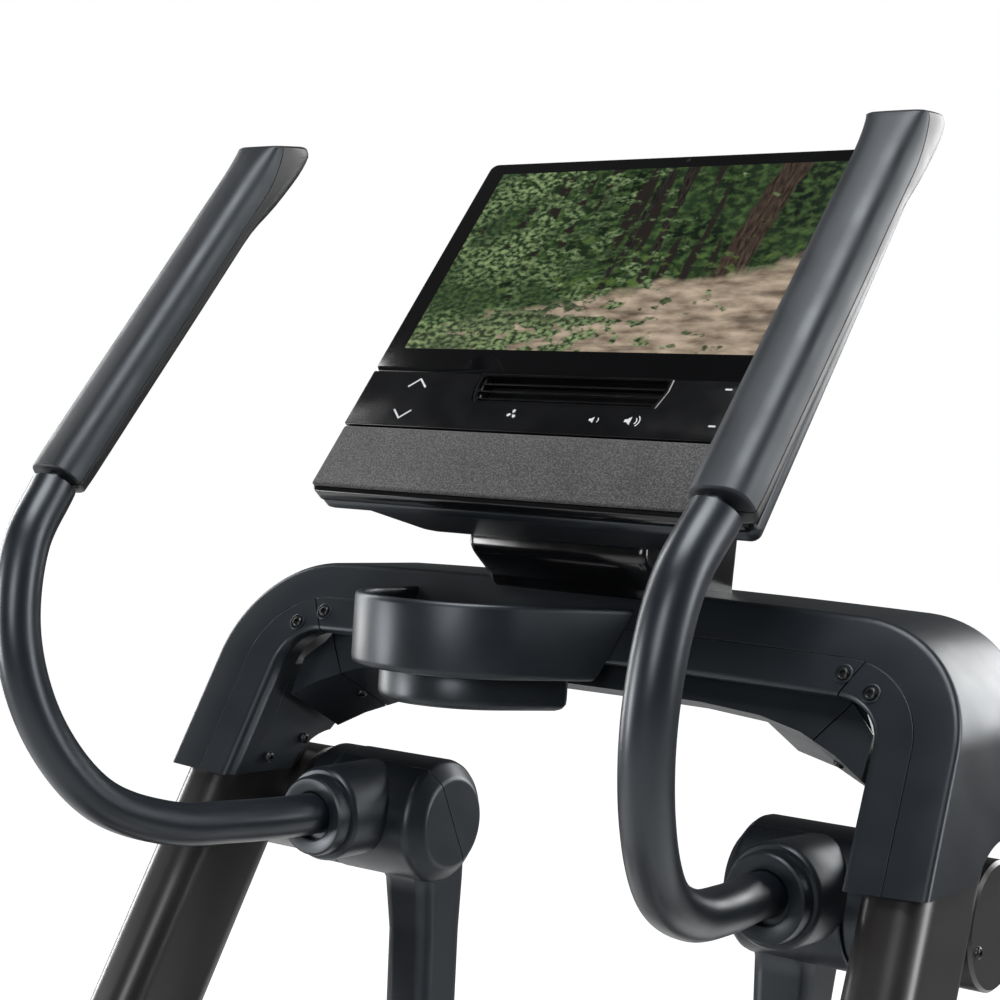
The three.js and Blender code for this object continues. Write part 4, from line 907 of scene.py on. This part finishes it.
def grip_section(row, draw, front, steps=24):
    """One half of the grip's rounded section; v runs from the user's side to the far side."""
    user = Vector(row[:2])
    far = Vector(row[2:4])
    length = (far - user).length
    half_w = GRIP_HALF_WIDTH - draw
    half_l = length / 2 - draw
    parting = (row[4] - 0.5) * length
    end, gap = (-half_l, -GRIP_GAP) if front else (half_l, GRIP_GAP)
    middle = user.lerp(far, 0.5)
    away = (far - user).normalized()
    section = []
    for i in range(steps + 1):
        angle = math.pi * i / steps
        across = half_w * math.cos(angle)
        bulge = math.copysign(min(abs(across) / half_w, 1.0) ** 0.62 * half_w, across)
        v = parting + (end - parting) * math.sin(angle) ** 0.75
        if abs(v - parting) < 0.01:
            v = parting + gap
        section.append((bulge, middle.x + away.x * v, middle.y + away.y * v))
    return section


def build_grip(front):
    stations = grip_stations()
    rings = []
    for i, (row, draw) in enumerate(stations):
        x = GRIP_BOTTOM_X + (GRIP_TOP_X - GRIP_BOTTOM_X) * i / (len(stations) - 1)
        rings.append([point(x + u, y, z) for u, y, z in grip_section(row, draw, front)])
    return loft("grip", rings)


def build_arms():
    handle = sweep("handle_bend", HANDLE_KNOTS, HANDLE_RADIUS)
    join(handle, sweep("tool", CORE_KNOTS, CORE_RADIUS, 32, 12))
    hub = turned("hub", HUB_ROWS, HUB_Y, HUB_Z, 120)
    cut(hub, rod("tool", 128, 213, HUB_Y, HUB_Z, BORE_RADIUS))
    seam = point(0, math.cos(HUB_SEAM), math.sin(HUB_SEAM))
    away = point(0, seam.z, -seam.y)
    axis = point(0, HUB_Y, HUB_Z)
    cap = sliced(copied(hub, "hub_cap"), axis + away * HALF_SEAM, -away)
    base = sliced(hub, axis - away * HALF_SEAM, away)
    socket = loft("handle_cup", [
        [point(HANDLE_CUP_X + u, y, HANDLE_CUP_Z + v) for u, v in circle(r, 80)] for y, r in CUP_ROWS])
    arm = build_lower_arm()
    pieces = [
        (cap, "hub_cap_skin", "cover_plastic", "hub_cap_shell", 0.5),
        (base, "hub_base_skin", "cover_plastic", "hub_base_shell", 0.5),
        (socket, "handle_cup", "cover_plastic", "handle_socket", 0),
        (handle, "handle_bend", "tube_paint", "handle_tube", 0),
        (build_grip(True), "grip_palm", "grip_rubber", "grip_front", 0.6),
        (build_grip(False), "grip_spine", "grip_trim", "grip_back", 0.6),
        (arm, "lower_arm_beam", "tube_paint", "lower_arm", 1.2),
    ]
    for thing, name, slot, node, edge in pieces:
        for piece, word in paired(thing, name):
            tilted(piece, PHASES[word], HUB_Y, HUB_Z)
            if edge:
                softened(piece, edge, 3, 40)
            else:
                smoothed(piece, 35)
            dressed(piece, f"arm_{word}", slot, f"{node}_{word}")
    collar = turned("hub_collar", COLLAR_ROWS, HUB_Y, HUB_Z, 120)
    join(collar, rod("tool", 130, 235, HUB_Y, HUB_Z, AXLE_RADIUS))
    for piece, word in paired(collar, "hub_collar"):
        dressed(smoothed(piece, 32), "frame", "cover_plastic", f"pivot_axle_{word}")


# Rows down the lower arm: height, outer face in x, and its two faces in y.
ARM_ROWS = [
    (1278, 180, 10, 84), (1252, 178, 18, 84), (1228, 175, 34, 84), (1190, 172, 37, 82), (900, 170, 38, 82),
    (360, 168, 38, 82), (330, 168, 40, 80), (316, 168, 48, 72)]
ARM_INNER = 132
ARM_CORNER = 11


def build_lower_arm():
    rows = []
    for z, outer, y0, y1 in subdivided(ARM_ROWS, [4] * (len(ARM_ROWS) - 1)):
        width, depth = outer - ARM_INNER, y1 - y0
        corner = min(ARM_CORNER, depth / 2 - 1)
        rows.append((rounded_rect(width, depth, corner, 8, ARM_INNER + width / 2, (y0 + y1) / 2), z))
    return stack("lower_arm_beam", rows, point)


# ---------------- mast, tray and cup
MAST_SIDE = [
    (5, 1450, 3), (94, 1450, 3), (100, 1520, 10), (90, 1600, 10), (20, 1560, 8), (-28, 1478, 14),
    (1, 1457, 10)]
MAST_CENTRE = (46, 1505)
MAST_REACH = 64                  # about how far the mast's outline lies from its centre
MAST_ROWS = [(-70, 4.5), (-69.4, 2.2), (-67.6, 0.7), (-64.5, 0)]


def build_mast():
    middle_y, middle_z = MAST_CENTRE
    rows = []
    for x, inset in MAST_ROWS + [(-x, inset) for x, inset in reversed(MAST_ROWS)]:
        part = 1 - inset / MAST_REACH
        rows.append(([
            (middle_y + (y - middle_y) * part, middle_z + (z - middle_z) * part)
            for y, z in filleted(MAST_SIDE, 8)], x))
    mast = stack("console_neck", rows, along_x)
    sliced(mast, on_console(0, 0, -29), CONSOLE_OUT)
    dressed(smoothed(mast, 35), "frame", "gloss_black", "console_mast")


TRAY_TOP = 1444
TRAY_BOTTOM = 1396
TRAY_FLOOR = 8
TRAY_RADIUS = 77
TRAY_BACK = 25
TRAY_CORNER = 2
ROUND_CENTRE = (-58, -33)
FLAT_SIDE_FACES = math.radians(-28.6)
CUP_RADIUS = 58
CUP_BACK = -14
CUP_CORNER = 7
CUP_WALL = 4
CUP_TOP = TRAY_BOTTOM + 4
# Rows of (inset, z), up the outside, over the rim and down the inside; and up the mouth over the cup.
TRAY_ROWS = [
    (4.5, TRAY_BOTTOM), (2.2, TRAY_BOTTOM + 0.4), (0.7, TRAY_BOTTOM + 1.8), (0, TRAY_BOTTOM + 5),
    (0, TRAY_TOP - 4), (0.5, TRAY_TOP - 1.6), (1.6, TRAY_TOP - 0.4), (3, TRAY_TOP), (4.6, TRAY_TOP - 0.5),
    (5.7, TRAY_TOP - 2), (6, TRAY_TOP - 4.5), (6.4, TRAY_BOTTOM + 12), (7.4, TRAY_BOTTOM + 9),
    (10, TRAY_BOTTOM + TRAY_FLOOR)]
WELL_ROWS = [
    (6, 1374), (3.2, 1374.3), (1.2, 1375.6), (0.2, 1378), (0, 1381), (0, 1399), (0.6, CUP_TOP),
    (3.2, CUP_TOP), (4, 1399), (4.2, 1383), (5, 1380.5), (8, 1379)]
MOUTH_ROWS = [
    (CUP_WALL, TRAY_BOTTOM), (CUP_WALL, TRAY_BOTTOM + 6.5), (CUP_WALL - 0.6, TRAY_BOTTOM + 7.5),
    (CUP_WALL - 2, TRAY_BOTTOM + TRAY_FLOOR + 0.6)]


def round_front(radius, back, corner, steps=64):
    """Round on the user's side, with a flat right side that slants back to the crossbar."""
    centre_x, centre_y = ROUND_CENTRE
    points = []
    for i in range(steps + 1):
        angle = -math.pi + (FLAT_SIDE_FACES + math.pi) * i / steps
        points.append((centre_x + radius * math.cos(angle), centre_y + radius * math.sin(angle)))
    slant = -math.tan(FLAT_SIDE_FACES)
    start_x, start_y = points[-1]
    end_x, end_y = start_x + (back - corner - start_y) * slant, back - corner
    left = centre_x - radius
    points += [(end_x, end_y), (end_x - corner * (1 - slant), back), (left + corner, back), (left, end_y)]
    return points


def concentric(name, rows, radius, back, corner, follow=0):
    """A skin with a round front, from rows of (inset, z); the back is inset follow times as much."""
    return stack(name, [
        (round_front(radius - inset, back - follow * inset, corner), z) for inset, z in rows], point)


def build_tray():
    tray = concentric("bottle_shelf", TRAY_ROWS, TRAY_RADIUS, TRAY_BACK, TRAY_CORNER)
    rebate_rows = [(-GAP, TRAY_BOTTOM - 5), (-GAP, CUP_TOP + GAP)]
    rebate = concentric("tool", rebate_rows, CUP_RADIUS, CUP_BACK, CUP_CORNER, 1)
    mouth = concentric("tool", MOUTH_ROWS, CUP_RADIUS, TRAY_BACK, CUP_CORNER)
    cut(tray, rebate, mouth)
    sliced(tray, on_arch(0, 0, -0.5), ARCH_BACK)
    dressed(smoothed(tray, 38), "frame", "cover_plastic", "bottle_tray")

    cup = concentric("cup_well", WELL_ROWS, CUP_RADIUS, CUP_BACK, CUP_CORNER, 1)
    dressed(smoothed(cup, 38), "frame", "cover_plastic", "cup_insert")


build_console()
build_symbols()
build_arch()
build_uprights()
build_arms()
build_mast()
build_tray()


# ---------------- picture on the screen
SQUARE = [(-1, -1), (1, -1), (1, 1), (-1, 1)]
# Where each trunk stands across the picture, its lean, its half width and its colour, far ones first.
TRUNKS = (
    (0.43, 0.05, 0.007, (0.020, 0.018, 0.016)), (0.56, -0.03, 0.009, (0.024, 0.020, 0.017)),
    (0.70, 0.10, 0.032, (0.050, 0.034, 0.025)), (0.83, 0.16, 0.012, (0.034, 0.026, 0.022)),
    (0.90, 0.22, 0.020, (0.044, 0.030, 0.022)))


def forest_trail():
    """A made-up picture, drawn from noise in the plate's own UV space: a sandy trail between dark trees."""
    material = new_material("screen_picture", (0.0, 0.0, 0.0), 0.2, Specular_IOR_Level=0.2)
    tree = material.node_tree
    where = add(tree, "UVMap", uv_map="screen").outputs["UV"]
    parts = add(tree, "SeparateXYZ", {"Vector": where})
    across, up = parts.outputs["X"], parts.outputs["Y"]

    def pattern(scale, stretch, detail=4.0, shift=(0.0, 0.0), kind="Noise"):
        sockets = {"Scale": (*stretch, 1.0), "Location": (*shift, 0.0), "Vector": where}
        place = add(tree, "Mapping", sockets).outputs["Vector"]
        node = add(tree, f"Tex{kind}", {"Scale": scale, "Detail": detail, "Vector": place})
        return node.outputs["Fac" if kind == "Noise" else "Distance"]

    def weighed(first, weight, second):
        """first + weight * second"""
        return calculated("MULTIPLY_ADD", second, weight, first)

    def step(value, start, end, low=0.0, high=1.0):
        return remap(value, low, high, start, end)

    def trunk(below, place, lean, half_width, colour):
        """One leaning trunk with rough edges and bark streaks."""
        wander = 0.05
        line = weighed(weighed(across, -lean, up), wander, pattern(3.0, (0.5, 2.0), 3.0, (place, 4.0)))
        distance = calculated("ABSOLUTE", calculated("SUBTRACT", line, place + wander / 2))
        bark = step(pattern(60.0, (2.4, 0.25), 5.0, (place, 1.0)), 0.36, 0.66)
        wood = blended(bark, shade(colour, 0.35), shade(colour, 1.5))
        return blended(step(distance, half_width, half_width * 1.25, 1.0, 0.0), below, wood)

    gloom = step(pattern(4.0, (1.6, 1.0), 5.0), 0.36, 0.68)
    scrub = step(pattern(24.0, (1.7, 1.1), 7.0, (3.0, 1.0)), 0.44, 0.68)
    picture = blended(gloom, (0.004, 0.009, 0.005), (0.020, 0.040, 0.016))
    picture = blended(scrub, picture, (0.060, 0.110, 0.034))
    shafts = step(pattern(13.0, (2.2, 0.10), 1.0, (5.0, 0.2)), 0.57, 0.62)
    picture = blended(shafts, picture, (0.018, 0.014, 0.012))
    for row in TRUNKS:
        picture = trunk(picture, *row)
    moss = step(weighed(pattern(16.0, (1.7, 1.3), 7.0, (7.0, 2.0)), -0.35, up), 0.38, 0.50)
    picture = blended(moss, picture, (0.080, 0.130, 0.036))

    soil = step(pattern(9.0, (1.5, 2.3), 10.0, (1.0, 7.0)), 0.32, 0.66)
    ground = blended(soil, (0.150, 0.112, 0.080), (0.500, 0.400, 0.300))
    pebbles = step(pattern(60.0, (1.7, 2.6), 2.0, kind="Voronoi"), 0.05, 0.34, 0.40, 0.0)
    ground = blended(pebbles, ground, (0.240, 0.185, 0.140))
    roots = step(pattern(4.0, (1.2, 3.4), 8.0, (4.0, 3.0)), 0.55, 0.66, 0.0, 0.65)
    ground = blended(roots, ground, (0.050, 0.040, 0.034))
    bank = weighed(weighed(up, -0.42, across), 0.22, pattern(5.0, (1.8, 1.2), 6.0, (8.0, 1.0)))
    picture = blended(step(bank, 0.19, 0.24, 1.0, 0.0), picture, ground)

    sprays = pattern(11.0, (1.7, 1.5), 10.0, (2.0, 5.0))
    fronds = step(pattern(34.0, (1.9, 1.4), 8.0, (6.0, 6.0)), 0.42, 0.62)
    leaf = blended(fronds, (0.012, 0.030, 0.012), (0.240, 0.330, 0.150))
    shadow = step(pattern(3.6, (1.7, 1.3), 5.0, (9.0, 2.0)), 0.40, 0.60, 0.0, 0.8)
    leaf = blended(shadow, leaf, (0.016, 0.036, 0.015))
    front = weighed(weighed(sprays, -0.42, across), -0.10, up)
    picture = blended(step(front, 0.27, 0.33, 0.0, 0.94), picture, leaf)
    return surfaced(material, Emission_Color=picture, Emission_Strength=1.0)


def build_picture():
    half_width, half_height = SCREEN_HALF
    outline = [(u * half_width, v * half_height) for u, v in SQUARE]
    plate = prism("screen_picture", outline, on_console, -0.4, 0.12)
    layer = plate.data.uv_layers.new(name="screen")
    for loop in plate.data.loops:
        place = plate.data.vertices[loop.vertex_index].co / MM - CONSOLE_CENTRE
        layer.data[loop.index].uv = (
            place.x / (2 * half_width) + 0.5, place.dot(CONSOLE_UP) / (2 * half_height) + 0.5)
    dressed(plate, "frame", "display", material=forest_trail())


build_picture()


# ---------------- pedals
PAD_SIZE = (134, 300)
PAD_ROWS = [(0, 0.2), (0, 2.2), (1.2, 3.2)]      # inset and height above the pedal's floor
RIB_SIZE = (112, 8)
RIB_ROWS = [(0, 2.8), (0, 4.4), (1.2, 5.4)]
RIB_COUNT = 15
RIB_SPACING = 19


def build_pedal_pad(word):
    """A ribbed rubber mat in the floor of a pedal, following its slope."""
    node = frame["nodes"][f"pedal_{word}"]
    floor = max((face for face in node.data.polygons if face.normal.z > 0.8), key=lambda face: face.area)
    rise = floor.normal.copy()
    run = point(1, 0, 0).cross(rise).normalized()
    corner = node.data.vertices[floor.vertices[0]].co / MM
    low, high = (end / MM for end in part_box(f"pedal_{word}"))
    centre = (low + high) / 2
    centre = centre + rise * rise.dot(corner - centre)

    def on_pedal(u, v, w):
        return centre + point(u, 0, 0) + run * v + rise * w

    def block(name, size, radius, rows, shift=0.0):
        return stack(name, [
            (rounded_rect(size[0] - 2 * inset, size[1] - 2 * inset, radius - inset, v=shift), height)
            for inset, height in rows], on_pedal)

    pad = block(f"pedal_pad_{word}", PAD_SIZE, 14, PAD_ROWS)
    dressed(smoothed(pad, 35), f"beam_{word}", "tread")
    for i in range(RIB_COUNT):
        shift = (i - (RIB_COUNT - 1) / 2) * RIB_SPACING
        rib = block(f"pedal_rib_{word}_{i + 1}", RIB_SIZE, 3.2, RIB_ROWS, shift)
        dressed(smoothed(rib, 35), f"beam_{word}", "tread", material=RUBBER)


for _, pedal_word in SIDES:
    build_pedal_pad(pedal_word)


# ---------------- carried-over CAD nodes
PLAIN_EDGE = 1.2
EDGE_WIDTHS = {
    "housing": 5.0, "pedal": 2.5, "pedal_beam": 2.5, "base_rail": 1.5, "lift_leg": 1.5, "power_inlet": 0.5,
    "drive_belt": 0.3, "cooling_fan": 0.3,
}


def dress_frame_nodes():
    slots = {part["node"]: part["material_slot"] for part in frame["record"]["subparts"]}
    for name, node in frame["nodes"].items():
        if node.hide_render:
            continue
        node.data.materials.clear()
        node.data.materials.append(SLOT_MATERIALS[slots[name]])
        kind = name.removesuffix("_right").removesuffix("_left")
        softened(node, EDGE_WIDTHS.get(kind, PLAIN_EDGE), 3, 40)


dress_frame_nodes()


# ---------------- floor and light
FLOOR_HALF = 30000
ROOM_LIGHT = 0.07
WHITE = (1.0, 1.0, 1.0, 1.0)
# Name, place, aim, width and height in metres, and power in watts.
SOFTBOXES = (
    ("softbox_left", (-2.9, 0.2, 2.0), (0.0, 0.0, 1.4), 0.6, 2.6, 55),
    ("softbox_near", (-2.4, -1.8, 1.15), (0.0, 0.0, 1.4), 0.6, 1.3, 48),
    ("softbox_back", (1.0, 2.8, 2.3), (0.1, 0.0, 1.4), 2.0, 1.6, 70),
    ("softbox_right", (2.9, 1.0, 2.2), (0.1, 0.0, 1.4), 1.0, 2.4, 70),
    ("softbox_top", (0.2, -0.7, 3.7), (0.0, 0.0, 1.4), 1.3, 2.0, 85),
    ("softbox_front", (1.0, -3.3, 2.1), (0.0, 0.0, 1.4), 1.2, 1.4, 45))


def add_floor():
    """A pale floor that brightens to the white of the background away from the object."""
    corners = [point(u, v, 0) * FLOOR_HALF for u, v in SQUARE]
    floor = mesh_object("floor", corners, [(0, 1, 2, 3)])
    material = new_material("pale_floor", (0.80, 0.80, 0.80), 0.6, Specular_IOR_Level=0.2)
    tree = material.node_tree
    distance = add(tree, "VectorMath", {0: object_space(tree)}, operation="LENGTH")
    glow = remap(distance.outputs["Value"], 0.30, 1.0, 0.8, 2.6)
    seen = add(tree, "LightPath").outputs["Is Camera Ray"]
    surfaced(
        material, Roughness=remap(noise(tree, 1.5), 0.56, 0.64), Emission_Color=WHITE,
        Emission_Strength=calculated("MULTIPLY", glow, seen))
    floor.data.materials.append(material)


def add_softbox(name, place, target, width, height, power):
    data = bpy.data.lights.new(name, "AREA")
    assign(data, shape="RECTANGLE", size=width, size_y=height, energy=power)
    aim = (Vector(target) - Vector(place)).to_track_quat("-Z", "Y")
    assign(placed(name, data), location=place, rotation_euler=aim.to_euler())


def add_surroundings():
    """White to the camera, a dim grey room to everything else."""
    world = bpy.data.worlds.new("studio")
    world.use_nodes = True
    tree = world.node_tree
    room = tree.nodes["Background"]
    room.inputs["Color"].default_value = WHITE
    room.inputs["Strength"].default_value = ROOM_LIGHT
    backdrop = add(tree, "Background", {"Color": WHITE, "Strength": 1.0})
    rays = add(tree, "LightPath")
    choice = add(tree, "MixShader", {
        "Fac": rays.outputs["Is Camera Ray"],
        1: room.outputs["Background"], 2: backdrop.outputs["Background"]})
    feed(tree.nodes["World Output"].inputs["Surface"], choice.outputs["Shader"])
    bpy.context.scene.world = world


add_floor()
add_surroundings()
for softbox in SOFTBOXES:
    add_softbox(*softbox)
bpy.context.scene.view_settings.view_transform = "Standard"
